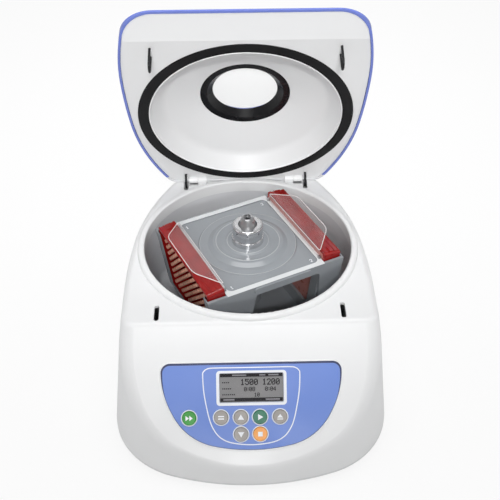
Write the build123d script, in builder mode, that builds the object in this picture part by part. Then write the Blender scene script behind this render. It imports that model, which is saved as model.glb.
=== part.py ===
from build123d import *
from math import asin, atan2, cos, degrees, radians, sin, sqrt, tan
import os

os.makedirs("parts", exist_ok=True)

# Overall heights, from the bench up
FOOT_HEIGHT = 6.0
TRAY_FLOOR = 2.5
COVER_Z = 8.5
DECK_Z = 139.5
RIM_RISE = 4.5
RIM_Z = DECK_Z + RIM_RISE
WALL = 3.0
SKIN_GAP = 0.3

# Plan outline of the housing at its lower edge
HOUSING_HALF = 144.0
HOUSING_FRONT = -217.0
HOUSING_BACK = 134.0
FRONT_RADIUS = 260.0
CORNER_RADIUS = 90.0
SIDE_STRAIGHT_Y = -64.0
SIDE_BLEND_Y = 15.5
SIDE_LONG_RADIUS = 620.0
SIDE_REAR_RADIUS = 282.0
TOP_HALF = 129.0
SIDE_TAPER = degrees(atan2(HOUSING_HALF - TOP_HALF, DECK_Z - COVER_Z))
SLOPE_ANGLE = 50.0
CREASE_Y = -121.0
SLOPE_EDGE_RADIUS = 16.0
DECK_EDGE_RADIUS = 8.0
BACK_EDGE_RADIUS = 14.0

# Bowl
BOWL_RADIUS = 112.0
RIM_WIDTH = 7.5
FLANGE_DEPTH = 14.0
BOWL_FLOOR_Z = 50.5
LINER_WALL = 2.0
LINER_CORNER = 12.0
SHAFT_OPENING = 11.0
SEAL_BOSS_RADIUS = 22.0
SEAL_BOSS_RISE = 3.5

# Lid, in the plane of its seal, with the bowl axis as its centre
HINGE_Y = 116.4
LID_OPEN = 69.2
LID_HALF = 127.4
LID_FRONT = -154.0
LID_BACK = 120.4
LID_SIDE_Y = -64.0
LID_BLEND_Y = 10.0
LID_FRONT_SIDE_RADIUS = 309.0
LID_LONG_RADIUS = 760.0
LID_REAR_RADIUS = 266.0
LID_FRONT_CORNER = 34.0
LID_BACK_CORNER = 14.0
LID_SKIN = 2.5
LID_BAND = 9.0
LID_RISE = 46.0
LID_UNDERSIDE = 1.3
LIP_FOLD_Y = -120.0
LIP_ANGLE = 12.0
GASKET_INNER = 103.7
GASKET_OUTER = 114.9
GASKET_FACE = 0.3
DISH_RADIUS = 103.3
DISH_KNEE_RADIUS = 89.0
DISH_KNEE_Z = 18.0
WINDOW_RING_OUTER = 48.8
WINDOW_RING_Z = 33.0
WINDOW_RADIUS = 35.4
WINDOW_SHELF_Z = 41.0
PANE_THICK = 2.4

# Hinge
KNUCKLE_RADIUS = 4.0
KNUCKLE_LENGTH = 10.0
KNUCKLE_X = 46.0
HINGE_PIN_RADIUS = 1.75
PIN_CLEARANCE = 0.06
STAY_X = 70.0
STAY_RADIUS = 9.0
STAY_WIRE = 1.3

# Latches
LOOP_X = 93.4
LOOP_Y = -104.0
LOOP_HALF_WIDTH = 6.0
LOOP_WIRE = 1.3
LOOP_DROP = 22.0
SLOT_LENGTH = 22.0
SLOT_WIDTH = 5.0
SLOT_Y = -105.5
BOLT_RADIUS = 3.0
BOLT_CLEARANCE = 0.08
BOLT_LENGTH = 24.0

# Rotor
ROTOR_TURN = 25.8
ROTOR_HALF_U = 57.5
ROTOR_HALF_V = 68.3
ROTOR_TOP_Z = 141.7
ROTOR_SHEET = 3.0
ROTOR_FLOOR_Z = 62.5
END_WALL_TOP = 80.0
END_WALL_BOTTOM = 68.0
PLATE_TILT = 8.0
PLATE_LENGTH = 127.76
PLATE_HEIGHT = 85.48
PLATE_SKIRT = 19.5
WELL_PITCH = 9.0
WELL_DEPTH = 19.0
WELL_TOP_RADIUS = 2.9
WELL_TIP_RADIUS = 1.2
COLUMN_RADIUS = 15.0
FLAP_LENGTH = 112.0
FLAP_TIP_LENGTH = 66.0
FLAP_REACH = 80.0
FLAP_SLOPE = 13.0
FLAP_SHEET = 1.0
FLAP_PIN_RADIUS = 1.0
KNOB_RADIUS = 16.3
KNOB_HEIGHT = 21.5
KNOB_FLANGE_RADIUS = 17.3
KNOB_RECESS_RADIUS = 10.2

# Drive
SHAFT_RADIUS = 6.0
SHAFT_CLEARANCE = 0.05
MOTOR_PLATE_Z = 16.0
MOTOR_PLATE = 3.0
DAMPER_PITCH = 96.0
STATOR_RADIUS = 34.0
BELL_RADIUS = 41.0
BEARING_RADIUS = 13.0
BEARING_WIDTH = 8.0
COIL_COUNT = 9

# Control panel, measured down the slope from the crease
PANEL_TOP = 39.6
PANEL_HALF = 89.0
PANEL_DROP = 86.4
PANEL_RECESS = 0.8
OVERLAY = 0.6
DISPLAY_WIDTH = 63.0
DISPLAY_HEIGHT = 28.4
DISPLAY_DROP = 25.0
BUTTON_RADIUS = 6.9
BUTTON_GAP = 0.3
BUTTON_PROUD = 1.2
BUTTON_TRAVEL = 0.6
ROW_ONE = 54.0
ROW_TWO = 70.8
BUTTONS = {
    "quick_button": (-62.0, ROW_ONE),
    "select_button": (-30.5, ROW_ONE),
    "up_button": (-11.0, ROW_ONE),
    "run_button": (8.0, ROW_ONE),
    "open_button": (27.8, ROW_ONE),
    "down_button": (-11.0, ROW_TWO),
    "stop_button": (8.0, ROW_TWO),
}
BOARD_DEPTH = 10.0
BOARD = 1.6

# Rear connections
INLET_X = -64.0
INLET_Z = 34.0
INLET_RADIUS = 5.5
SWITCH_X = -34.0
SWITCH_WIDTH = 21.0
SWITCH_HEIGHT = 15.0

# Screws, posts and small parts
SCREW_RADIUS = 2.0
SCREW_HEAD = 2.0
SMALL_SCREW = 1.3
SCREW_BITE = 7.0
BOSS_RADIUS = 5.0
BOSS_HEIGHT = 20.0
BOSS_YS = (-100.0, -30.0, 100.0)
POST_RADIUS = 3.2
POST_BITE = 4.0
UPSTAND = 2.0
UPSTAND_HEIGHT = 6.0
UPSTAND_INSET = WALL + 1.1
FOOT_RADIUS = 11.0
FRONT_FOOT_INSET = 44.0
FRONT_FOOT_Y = -140.0
REAR_FOOT_INSET = 60.0
REAR_FOOT_Y = 100.0
DAMPER_RADIUS = 7.0
DAMPER_TAPER = 22.0
TUBE_RADIUS = 17.0
TUBE_HEIGHT = 21.0
NOSE_RADIUS = 5.0
NOSE_TOP = 158.0
SEAT_RADIUS = 9.5
SEAT_Z = 56.0
SEAT_THICK = 1.8
LINER_SCREW_OUT = 4.5
FLANGE_LENGTH = 8.0
FLANGE_SHEET = 1.2
SIDE_WINDOW_LENGTH = 104.0
SIDE_WINDOW_LOW = 76.0
SIDE_WINDOW_HIGH = 130.0
END_WINDOW_LEFT = -24.0
END_WINDOW_RIGHT = 51.0
END_WINDOW_LOW = 72.0
END_WINDOW_HIGH = 131.0
LIP_LEFT = -27.0
LIP_RIGHT = 41.0
LIP_TALL = 8.0
LIP_PROUD = 2.0
TOP_RECESS = 1.0
CROWN_SHEET = 2.0
CROWN_STEPS = (
    (54.0, 0.0),
    (52.0, 1.6),
    (47.0, 2.2),
    (43.0, 2.4),
    (38.0, 4.8),
    (34.5, 5.4),
    (30.0, 4.6),
    (25.5, 4.3),
    (22.5, 5.4),
    (18.0, 5.6),
)
PLATE_CLEARANCE = 0.35
PLATE_DECK = 1.2
SEAL_THICK = 0.2
FLAP_UPRIGHT = 7.4
FLAP_CORNER = 16.0
CLIP_WIDTH = 3.0
CLIP_HEIGHT = 3.0
KNOB_GAP = 0.1
KNOB_RECESS = 4.0
LID_SHEET = 2.5
GASKET_SEAT = 1.5
PANE_RADIUS = 40.3
DOME_STEPS = ((1.0, 9.0), (0.84, 29.0), (0.62, 43.0), (0.42, 46.0))
HINGE_FOOT = 11.0
STAY_SWEEP = 111.0
BRACKET_WIDTH = 15.0
BRACKET_DEPTH = 9.0
COIL_LENGTH = 20.0
COIL_RADIUS = 7.4
SWITCH_TALL = 1.8
BOARD_WIDTH = 152.0
BOARD_HEIGHT = 72.0
BOARD_SPOT = (0.0, -41.0)
POST_PITCH_X = 140.0
POST_PITCH_Y = 60.0
MAIN_BOARD_Z = 14.5
MAIN_WIDTH = 110.0
MAIN_LENGTH = 40.0
MAIN_SPOT = (20.0, 96.0)
INLET_BORE = 3.2
ROCKER_DEPTH = 7.0
ROCKER_HALF = 8.2
ROCKER_TALL = 11.4
ROCKER_TILT = -8.0
ROCKER_PIVOT = 1.0
ROCKER_PROUD = 2.6
ROCKER_BARREL = 2.2
VENT_SPOT = (40.0, 70.0)
VENT_PITCH = 9.0
VENT_COUNT = 8
VENT_LENGTH = 34.0
VENT_WIDTH = 3.5
TRAY_VENT_PITCH = 14.0
TRAY_VENT_COUNT = 7
TRAY_VENT_LENGTH = 46.0
TRAY_VENT_WIDTH = 5.0
BOSS_ROOF = 3.0
LINER_SCREW_COUNT = 4
LINER_SCREW_TURN = 45.0
SMALL_HEAD = 2.5
SEAL_LIP_CHAMFER = 1.2
FOOT_TAPER = 12.0
PLATE_SIDE = DAMPER_PITCH + 20.0
PLATE_CORNER = 12.0
TUBE_FLANGE_RADIUS = 25.0
TUBE_FLANGE = 2.5
BEARING_RACE = 2.1
BEARING_GROOVE = 0.6
CORE_RISE = 6.0
CORE_HEIGHT = 12.0
CORE_HUB = 4.0
TOOTH_OUTER = STATOR_RADIUS - 3.0
TOOTH_SLOT = 9.0
TOOTH_GAP = 2.0
MOTOR_GAP = 0.8
BELL_LIFT = 3.0
BELL_WALL = 2.0
BELL_HUB = 3.0
SIDE_WINDOW_CORNER = 8.0
END_WINDOW_CORNER = 4.0
END_WINDOW_ROUND = 12.0
END_WINDOW_SWEEP = 18.0
TOP_BORDER = 4.0
TOP_MARGIN = 6.0
TOP_CORNER = 6.0
PLATE_ROUND = 3.0
WELL_COLUMNS = 12
WELL_ROWS = 8
SEAL_BORDER = 6.0
PIN_INSET = 1.5
PIN_RISE = FLAP_PIN_RADIUS + 0.4
FLAP_GAP = 0.2
CLIP_GAP = 0.3
KNOB_FLANGE = 6.0
KNOB_ROUND = 2.0
FLANGE_ROUND = 0.6
KNOB_HOLE = 1.0
KNOB_HOLE_DEPTH = 3.0
KNOB_HOLE_DROP = 5.0
KNOB_HOLE_STEP = 45
KNOB_SCREW_GAP = 0.3
KNOB_SCREW_STEPS = (
    (9.6, -1.2),
    (8.4, 1.6),
    (7.2, 6.6),
    (6.4, 8.6),
    (5.2, 9.4),
    (4.4, 9.4),
    (3.9, 7.2),
)
KNOB_SOCKET_RADIUS = 2.9
GASKET_GAP = 0.2
GASKET_ROUND = 0.8
DISH_ROUND = 14.0
WINDOW_BEVEL = 7.0
PRESS_GAP = 0.1
LOOP_STRIP = 8.0
STAY_STRIP = 7.0
STRIP_CORNER = 1.5
BRACKET_LIP = 5.0
BOLT_CHAMFER = 0.8
PANEL_CORNER = 9.0
DISPLAY_CORNER = 1.5
MODULE_BORDER = 8.0
BUTTON_ROUND = 0.6
BUTTON_COLLAR = 1.2
SWITCH_SIDE = 6.0
BOARD_CORNER = 3.0
MAIN_POST_INSET = 5.0
PART_XS = (-10.0, 22.0, 44.0)
TRANSFORMER = (30.0, 24.0, 16.0)
CAN_PITCH = 14.0
CAN_RADIUS = 5.0
HEADER = (16.0, 6.0, 9.0)
SINK_SHIFT = 40.0
SINK_WIDTH = 22.0
SINK_LENGTH = 30.0
SINK_BASE = 3.0
FIN = 1.4
FIN_PITCH = 3.6
FIN_COUNT = 6
FIN_HEIGHT = 12.0
SOCKET_DEPTH = 10.0
INLET_DEPTH = 8.0
SWITCH_RIM = 2.0
SWITCH_WALL = 1.5
ROCKER_EDGE = 1.5
BOWL_EDGE_ROUND = 3.5

# Derived planes
SLOPE = Plane(
    origin=(0, CREASE_Y, DECK_Z),
    x_dir=(1, 0, 0),
    z_dir=(0, -sin(radians(SLOPE_ANGLE)), cos(radians(SLOPE_ANGLE))),
)
PANEL = Plane(
    origin=SLOPE.from_local_coords((0, -PANEL_TOP, 0)),
    x_dir=SLOPE.x_dir,
    z_dir=SLOPE.z_dir,
)
LID = Plane(
    origin=(
        0,
        HINGE_Y - HINGE_Y * cos(radians(LID_OPEN)),
        RIM_Z + HINGE_Y * sin(radians(LID_OPEN)),
    ),
    x_dir=(1, 0, 0),
    z_dir=(0, sin(radians(LID_OPEN)), cos(radians(LID_OPEN))),
)
ROTOR = Plane(
    origin=(0, 0, 0),
    x_dir=(cos(radians(ROTOR_TURN)), sin(radians(ROTOR_TURN)), 0),
    z_dir=(0, 0, 1),
)


def placed(base, x, y, z):
    """A plane parallel to base, with its origin at these local coordinates."""
    return Plane(base.from_local_coords((x, y, z)), x_dir=base.x_dir, z_dir=base.z_dir)


def side_on(base, x=0.0):
    """The plane across base's x axis, so that its own x and y run along base's y and z."""
    return Plane(
        base.from_local_coords((x, 0, 0)), x_dir=base.y_dir, z_dir=base.x_dir
    )


def front_on(base, y=0.0):
    """The plane across base's y axis, so that its own x and y run along base's x and z."""
    return Plane(
        base.from_local_coords((0, y, 0)), x_dir=base.x_dir, z_dir=-base.y_dir
    )


def rear_arcs(half, straight_y, blend_y, long_radius, rear_radius):
    """The first arc's centre and turn, and the second arc's centre, of a side that curves in."""
    turn = asin((blend_y - straight_y) / long_radius)
    first = (half - long_radius, straight_y)
    x = first[0] + (long_radius - rear_radius) * cos(turn)
    y = first[1] + (long_radius - rear_radius) * sin(turn)
    return first, degrees(turn), (x, y)


def housing_outline(inset=0.0):
    """Half of the housing's plan, drawn in by inset and carried past the back wall."""
    front_centre = HOUSING_FRONT + FRONT_RADIUS
    corner_x = HOUSING_HALF - CORNER_RADIUS
    reach = FRONT_RADIUS - CORNER_RADIUS
    corner_y = front_centre - sqrt(reach**2 - corner_x**2)
    lean = degrees(asin(corner_x / reach))
    first, turn, second = rear_arcs(
        HOUSING_HALF, SIDE_STRAIGHT_Y, SIDE_BLEND_Y, SIDE_LONG_RADIUS, SIDE_REAR_RADIUS
    )
    past = HOUSING_BACK + HOUSING_HALF - TOP_HALF + 2 * WALL
    rear = SIDE_REAR_RADIUS - inset
    end = degrees(asin((past - second[1]) / rear))
    CenterArc((0, front_centre), FRONT_RADIUS - inset, -90, lean)
    CenterArc((corner_x, corner_y), CORNER_RADIUS - inset, lean - 90, 90 - lean)
    Line((HOUSING_HALF - inset, corner_y), (HOUSING_HALF - inset, SIDE_STRAIGHT_Y))
    CenterArc(first, SIDE_LONG_RADIUS - inset, 0, turn)
    CenterArc(second, rear, turn, end - turn)
    Line((second[0] + rear * cos(radians(end)), past), (0, past))


def housing_block(inset=0.0):
    """The housing's outside shape, or with an inset the space inside its wall."""
    with BuildPart() as block:
        with BuildSketch(Plane.XY.offset(COVER_Z)):
            with BuildLine():
                housing_outline(inset)
                mirror(about=Plane.YZ)
            make_face()
        extrude(amount=DECK_Z - COVER_Z - inset, taper=SIDE_TAPER)
        split(bisect_by=SLOPE.offset(-inset), keep=Keep.BOTTOM)
        split(
            bisect_by=Plane(
                (0, HOUSING_BACK - inset, 0), x_dir=(1, 0, 0), z_dir=(0, 1, 0)
            ),
            keep=Keep.BOTTOM,
        )
        back = block.faces().sort_by(Axis.Y)[-1]
        upright = back.edges().filter_by(lambda e: abs(e.tangent_at(0.5).Z) > 0.9)
        fillet(upright, BACK_EDGE_RADIUS - inset)
        slope = block.faces().filter_by(
            lambda f: abs(f.normal_at().dot(SLOPE.z_dir) - 1) < 1e-6
        )[0]
        loop = slope.edges().filter_by(lambda e: abs(e.center().Z - DECK_Z + inset) > 1)
        fillet(loop, SLOPE_EDGE_RADIUS - inset)
        deck = block.faces().filter_by(Axis.Z).sort_by(Axis.Z)[-1]
        fillet(deck.edges(), DECK_EDGE_RADIUS - inset)
    return block.part

def side_x(y):
    """The housing's half width at its lower edge, at a place along the curving side."""
    first, turn, second = rear_arcs(
        HOUSING_HALF, SIDE_STRAIGHT_Y, SIDE_BLEND_Y, SIDE_LONG_RADIUS, SIDE_REAR_RADIUS
    )
    if y <= SIDE_STRAIGHT_Y:
        return HOUSING_HALF
    if y <= SIDE_BLEND_Y:
        return first[0] + sqrt(SIDE_LONG_RADIUS**2 - (y - first[1]) ** 2)
    return second[0] + sqrt(SIDE_REAR_RADIUS**2 - (y - second[1]) ** 2)


def save(piece, name):
    """Label a finished piece and write its file."""
    piece.label = name
    export_step(piece, f"parts/{name}.step")


def panel_outline(margin=0.0):
    """The panel's face: straight along the top, bowed to a round bottom."""
    half = PANEL_HALF - margin
    drop = PANEL_DROP - margin
    with BuildSketch() as face:
        with BuildLine():
            Line((0, -margin), (half, -margin))
            ThreePointArc((half, -margin), (0.985 * half, -0.3 * drop), (0.885 * half, -0.58 * drop))
            ThreePointArc(
                (0.885 * half, -0.58 * drop), (0.70 * half, -0.82 * drop), (0.42 * half, -0.955 * drop)
            )
            ThreePointArc((0.42 * half, -0.955 * drop), (0.21 * half, -0.99 * drop), (0, -drop))
            mirror(about=Plane.YZ)
        make_face()
        fillet(face.vertices().group_by(Axis.Y)[-1].sort_by(Axis.X)[0], PANEL_CORNER - margin)
        fillet(face.vertices().group_by(Axis.Y)[-1].sort_by(Axis.X)[-1], PANEL_CORNER - margin)
    return face.sketch


BUTTON_SPOTS = [(x, -drop) for x, drop in BUTTONS.values()]
DISPLAY_SPOT = (0, -DISPLAY_DROP)
BUTTON_HOLE = BUTTON_RADIUS + BUTTON_GAP
BOARD_FACE = -BOARD_DEPTH
HINGE_SIDES = (-1, 1)
KNUCKLE_END = KNUCKLE_X + KNUCKLE_LENGTH
LID_KNUCKLE_X = KNUCKLE_END + SKIN_GAP
LID_KNUCKLE_END = LID_KNUCKLE_X + KNUCKLE_LENGTH
NOTCH_X = KNUCKLE_X - SKIN_GAP
NOTCH_END = LID_KNUCKLE_END + SKIN_GAP
RIM_OUTER = BOWL_RADIUS + RIM_WIDTH
LINER_SCREW_RING = BOWL_RADIUS + LINER_SCREW_OUT
LINER_TOP = RIM_Z - FLANGE_DEPTH
BOLT_Z = RIM_Z - LOOP_DROP + 2 * LOOP_WIRE + BOLT_RADIUS + 3 * SKIN_GAP
DECK_UNDER = DECK_Z - WALL
REAR = Plane((0, HOUSING_BACK, 0), x_dir=(-1, 0, 0), z_dir=(0, 1, 0))
TRAY_TOP = FOOT_HEIGHT + TRAY_FLOOR
DAMPERS = [(x * DAMPER_PITCH / 2, y * DAMPER_PITCH / 2) for x in (-1, 1) for y in (-1, 1)]
FEET = [
    (side * (HOUSING_HALF - inset), y)
    for inset, y in ((FRONT_FOOT_INSET, FRONT_FOOT_Y), (REAR_FOOT_INSET, REAR_FOOT_Y))
    for side in (-1, 1)
]
COVER_BOSSES = [
    (side * (side_x(y) - WALL - BOSS_RADIUS + 1), y) for y in BOSS_YS for side in (-1, 1)
]
MAIN_POST_X = MAIN_WIDTH / 2 - MAIN_POST_INSET
MAIN_POST_Y = MAIN_LENGTH / 2 - MAIN_POST_INSET
MAIN_POSTS = [
    (MAIN_SPOT[0] + x * MAIN_POST_X, MAIN_SPOT[1] + y * MAIN_POST_Y)
    for x in (-1, 1)
    for y in (-1, 1)
]


def ring(plane, outer, inner, height):
    """A plain ring or tube, standing on the plane."""
    with BuildPart() as made:
        with BuildSketch(plane):
            Circle(outer)
            if inner:
                Circle(inner, mode=Mode.SUBTRACT)
        extrude(amount=height)
    return made.part


# Top cover: one shell with the bowl's rim, the panel's recess and the latch slots
with BuildPart() as top_cover:
    add(housing_block())
    add(housing_block(WALL), mode=Mode.SUBTRACT)
    with BuildSketch(Plane.XY.offset(LINER_TOP)):
        Circle(RIM_OUTER)
    extrude(amount=RIM_Z - LINER_TOP)
    top_ring = top_cover.edges().filter_by(GeomType.CIRCLE).group_by(Axis.Z)[-1]
    fillet(top_ring, BOWL_EDGE_ROUND)
    with BuildSketch(Plane.XY.offset(LINER_TOP)):
        Circle(BOWL_RADIUS)
    extrude(amount=RIM_Z, mode=Mode.SUBTRACT)
    mouth = top_cover.edges().filter_by(GeomType.CIRCLE).group_by(Axis.Z)[-1]
    fillet(mouth.sort_by(SortBy.RADIUS)[0], 2.0)
    with BuildSketch(PANEL.offset(-PANEL_RECESS)):
        add(panel_outline(-SKIN_GAP))
    extrude(amount=PANEL_RECESS + 1, mode=Mode.SUBTRACT)
    with BuildSketch(PANEL.offset(-WALL - 1)):
        with Locations(*BUTTON_SPOTS):
            Circle(BUTTON_HOLE)
        with Locations(DISPLAY_SPOT):
            RectangleRounded(DISPLAY_WIDTH + 2 * SKIN_GAP, DISPLAY_HEIGHT + 2 * SKIN_GAP, DISPLAY_CORNER)
    extrude(amount=WALL + 2, mode=Mode.SUBTRACT)
    with BuildSketch(Plane.XY.offset(DECK_UNDER - 1)):
        with Locations((LOOP_X, SLOT_Y), (-LOOP_X, SLOT_Y)):
            SlotOverall(SLOT_LENGTH, SLOT_WIDTH, rotation=90)
        for side in HINGE_SIDES:
            with Locations((side * (KNUCKLE_X + NOTCH_END - SKIN_GAP) / 2, HINGE_Y)):
                Rectangle(NOTCH_END - NOTCH_X, 2 * KNUCKLE_RADIUS + 2)
            with Locations((side * STAY_X, HINGE_Y - STAY_RADIUS / 3)):
                SlotOverall(2 * STAY_RADIUS + 5, 4 * STAY_WIRE, rotation=90)
    extrude(amount=WALL + RIM_RISE + 2, mode=Mode.SUBTRACT)
    with BuildSketch(Plane.XY.offset(DECK_Z)):
        with Locations((0, HINGE_Y - SKIN_GAP / 2)):
            Rectangle(2 * KNUCKLE_X, HOUSING_BACK - HINGE_Y, align=(Align.CENTER, Align.MIN))
    extrude(amount=RIM_RISE + 1, mode=Mode.SUBTRACT)
    with BuildSketch(REAR.offset(-WALL - 1)):
        with Locations((-INLET_X, INLET_Z)):
            Circle(INLET_RADIUS + SKIN_GAP)
        with Locations((-SWITCH_X, INLET_Z)):
            Rectangle(SWITCH_WIDTH + 2 * SKIN_GAP, SWITCH_HEIGHT + 2 * SKIN_GAP)
        with Locations(VENT_SPOT):
            with GridLocations(VENT_PITCH, 1, VENT_COUNT, 1):
                SlotOverall(VENT_LENGTH, VENT_WIDTH, rotation=90)
    extrude(amount=WALL + 2, mode=Mode.SUBTRACT)
    with BuildSketch(PANEL.offset(BOARD_FACE)):
        with Locations(BOARD_SPOT):
            with GridLocations(POST_PITCH_X, POST_PITCH_Y, 2, 2):
                Circle(POST_RADIUS)
    extrude(amount=BOARD_DEPTH - WALL / 2)
    with BuildSketch(PANEL.offset(BOARD_FACE)):
        with Locations(BOARD_SPOT):
            with GridLocations(POST_PITCH_X, POST_PITCH_Y, 2, 2):
                Circle(SMALL_SCREW)
    extrude(amount=POST_BITE + 1, mode=Mode.SUBTRACT)
    with BuildSketch(Plane.XY.offset(COVER_Z)):
        with Locations(*COVER_BOSSES):
            Circle(BOSS_RADIUS)
    extrude(amount=BOSS_HEIGHT)
    with BuildSketch(Plane.XY.offset(COVER_Z)):
        with Locations(*COVER_BOSSES):
            Circle(SCREW_RADIUS)
    extrude(amount=BOSS_HEIGHT - BOSS_ROOF, mode=Mode.SUBTRACT)
    with BuildSketch(Plane.XY.offset(LINER_TOP)):
        with PolarLocations(LINER_SCREW_RING, LINER_SCREW_COUNT, start_angle=LINER_SCREW_TURN):
            Circle(SMALL_SCREW)
    extrude(amount=SCREW_BITE + 1, mode=Mode.SUBTRACT)
save(top_cover.part, "top_cover")

# Bowl liner: a deep cup with a boss round the shaft and a flange under the cover's rim
with BuildPart() as bowl_liner:
    outer = BOWL_RADIUS + LINER_WALL
    under = BOWL_FLOOR_Z - LINER_WALL
    with BuildSketch(Plane.XZ) as section:
        with BuildLine():
            Polyline(
                (SHAFT_OPENING, under),
                (outer, under),
                (outer, LINER_TOP - LINER_WALL),
                (RIM_OUTER - 1, LINER_TOP - LINER_WALL),
                (RIM_OUTER - 1, LINER_TOP),
                (BOWL_RADIUS, LINER_TOP),
                (BOWL_RADIUS, BOWL_FLOOR_Z),
                (SEAL_BOSS_RADIUS, BOWL_FLOOR_Z),
                (SEAL_BOSS_RADIUS - SEAL_BOSS_RISE / 2, BOWL_FLOOR_Z + SEAL_BOSS_RISE),
                (SHAFT_OPENING, BOWL_FLOOR_Z + SEAL_BOSS_RISE),
                close=True,
            )
        make_face()
        fillet(section.vertices().sort_by_distance((outer, under))[0], LINER_CORNER)
        fillet(
            section.vertices().sort_by_distance((BOWL_RADIUS, BOWL_FLOOR_Z))[0],
            LINER_CORNER - LINER_WALL,
        )
    revolve(axis=Axis.Z)
    with BuildSketch(Plane.XY.offset(LINER_TOP - LINER_WALL)):
        with PolarLocations(LINER_SCREW_RING, LINER_SCREW_COUNT, start_angle=LINER_SCREW_TURN):
            Circle(SMALL_SCREW + SKIN_GAP)
    extrude(amount=LINER_WALL, mode=Mode.SUBTRACT)
save(bowl_liner.part, "bowl_liner")

with BuildPart() as liner_screws:
    with BuildSketch(Plane.XY.offset(LINER_TOP - LINER_WALL - 2)):
        with PolarLocations(LINER_SCREW_RING, LINER_SCREW_COUNT, start_angle=LINER_SCREW_TURN):
            Circle(SMALL_HEAD)
    extrude(amount=2)
    with BuildSketch(Plane.XY.offset(LINER_TOP - LINER_WALL)):
        with PolarLocations(LINER_SCREW_RING, LINER_SCREW_COUNT, start_angle=LINER_SCREW_TURN):
            Circle(SMALL_SCREW)
    extrude(amount=LINER_WALL + SCREW_BITE)
save(liner_screws.part, "liner_screws")

with BuildPart() as shaft_seal:
    seal_height = LINER_WALL + SEAL_BOSS_RISE
    add(ring(Plane.XY.offset(BOWL_FLOOR_Z - LINER_WALL), SHAFT_OPENING, SHAFT_RADIUS + SKIN_GAP, seal_height))
    chamfer(shaft_seal.edges().group_by(Axis.Z)[-1].sort_by(SortBy.RADIUS)[0], SEAL_LIP_CHAMFER)
save(shaft_seal.part, "shaft_seal")



def tray_plan(inset=0.0):
    """The housing's plan at its lower edge, closed by the back wall."""
    with BuildSketch() as plan:
        with BuildLine():
            housing_outline(inset)
            mirror(about=Plane.YZ)
        make_face()
        with Locations((0, HOUSING_BACK - inset)):
            Rectangle(
                3 * HOUSING_HALF, HOUSING_HALF, align=(Align.CENTER, Align.MIN), mode=Mode.SUBTRACT
            )
        fillet(plan.vertices().group_by(Axis.Y)[-1], BACK_EDGE_RADIUS - inset)
    return plan.sketch


# Base tray: the floor, with an upstand inside the cover and posts for what stands on it
with BuildPart() as base_tray:
    with BuildSketch(Plane.XY.offset(FOOT_HEIGHT)):
        add(tray_plan())
    extrude(amount=TRAY_FLOOR)
    with BuildSketch(Plane.XY.offset(TRAY_TOP)):
        add(tray_plan(UPSTAND_INSET))
        add(tray_plan(UPSTAND_INSET + UPSTAND), mode=Mode.SUBTRACT)
    extrude(amount=UPSTAND_HEIGHT)
    with BuildSketch(Plane.XY.offset(TRAY_TOP)):
        with Locations(*COVER_BOSSES):
            Circle(BOSS_RADIUS + 1)
    extrude(amount=UPSTAND_HEIGHT, mode=Mode.SUBTRACT)
    with BuildSketch(Plane.XY.offset(TRAY_TOP)):
        with Locations(*MAIN_POSTS):
            Circle(POST_RADIUS)
    extrude(amount=MAIN_BOARD_Z - TRAY_TOP)
    with BuildSketch(Plane.XY.offset(FOOT_HEIGHT)):
        with Locations(*COVER_BOSSES, *FEET, *DAMPERS):
            Circle(SCREW_RADIUS + SKIN_GAP)
        with GridLocations(TRAY_VENT_PITCH, 1, TRAY_VENT_COUNT, 1):
            SlotOverall(TRAY_VENT_LENGTH, TRAY_VENT_WIDTH, rotation=90)
    extrude(amount=TRAY_FLOOR, mode=Mode.SUBTRACT)
save(base_tray.part, "base_tray")

with BuildPart() as rubber_feet:
    for spot in FEET:
        with BuildSketch(Plane.XY.offset(FOOT_HEIGHT)):
            with Locations(spot):
                Circle(FOOT_RADIUS)
        extrude(amount=-FOOT_HEIGHT, taper=FOOT_TAPER)
    with BuildSketch(Plane.XY):
        with Locations(*FEET):
            Circle(SCREW_RADIUS + SCREW_HEAD + SKIN_GAP)
    extrude(amount=FOOT_HEIGHT / 2, mode=Mode.SUBTRACT)
    with BuildSketch(Plane.XY):
        with Locations(*FEET):
            Circle(SCREW_RADIUS + SKIN_GAP)
    extrude(amount=FOOT_HEIGHT, mode=Mode.SUBTRACT)
save(rubber_feet.part, "rubber_feet")


def screws(spots, head_z, tip_z, up=1):
    """Pan head screws with their heads at head_z, pointing along Z."""
    with BuildPart() as made:
        with BuildSketch(Plane.XY.offset(head_z)):
            with Locations(*spots):
                Circle(SCREW_RADIUS)
        extrude(amount=tip_z - head_z)
        with BuildSketch(Plane.XY.offset(head_z)):
            with Locations(*spots):
                Circle(SCREW_RADIUS + SCREW_HEAD)
        extrude(amount=-up * SCREW_HEAD)
    return made.part


save(screws(FEET, FOOT_HEIGHT / 2, TRAY_TOP + 2), "foot_screws")
save(screws(COVER_BOSSES, FOOT_HEIGHT, COVER_Z + BOSS_HEIGHT - BOSS_ROOF - 1), "cover_screws")

# Motor: a plate on soft mounts, a fixed core and windings, and a bell that turns with the shaft
with BuildPart() as motor_plate:
    with BuildSketch(Plane.XY.offset(MOTOR_PLATE_Z)):
        RectangleRounded(PLATE_SIDE, PLATE_SIDE, PLATE_CORNER)
        Circle(SHAFT_RADIUS + 2, mode=Mode.SUBTRACT)
        with Locations(*DAMPERS):
            Circle(SCREW_RADIUS + SKIN_GAP, mode=Mode.SUBTRACT)
    extrude(amount=MOTOR_PLATE)
save(motor_plate.part, "motor_plate")

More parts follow.
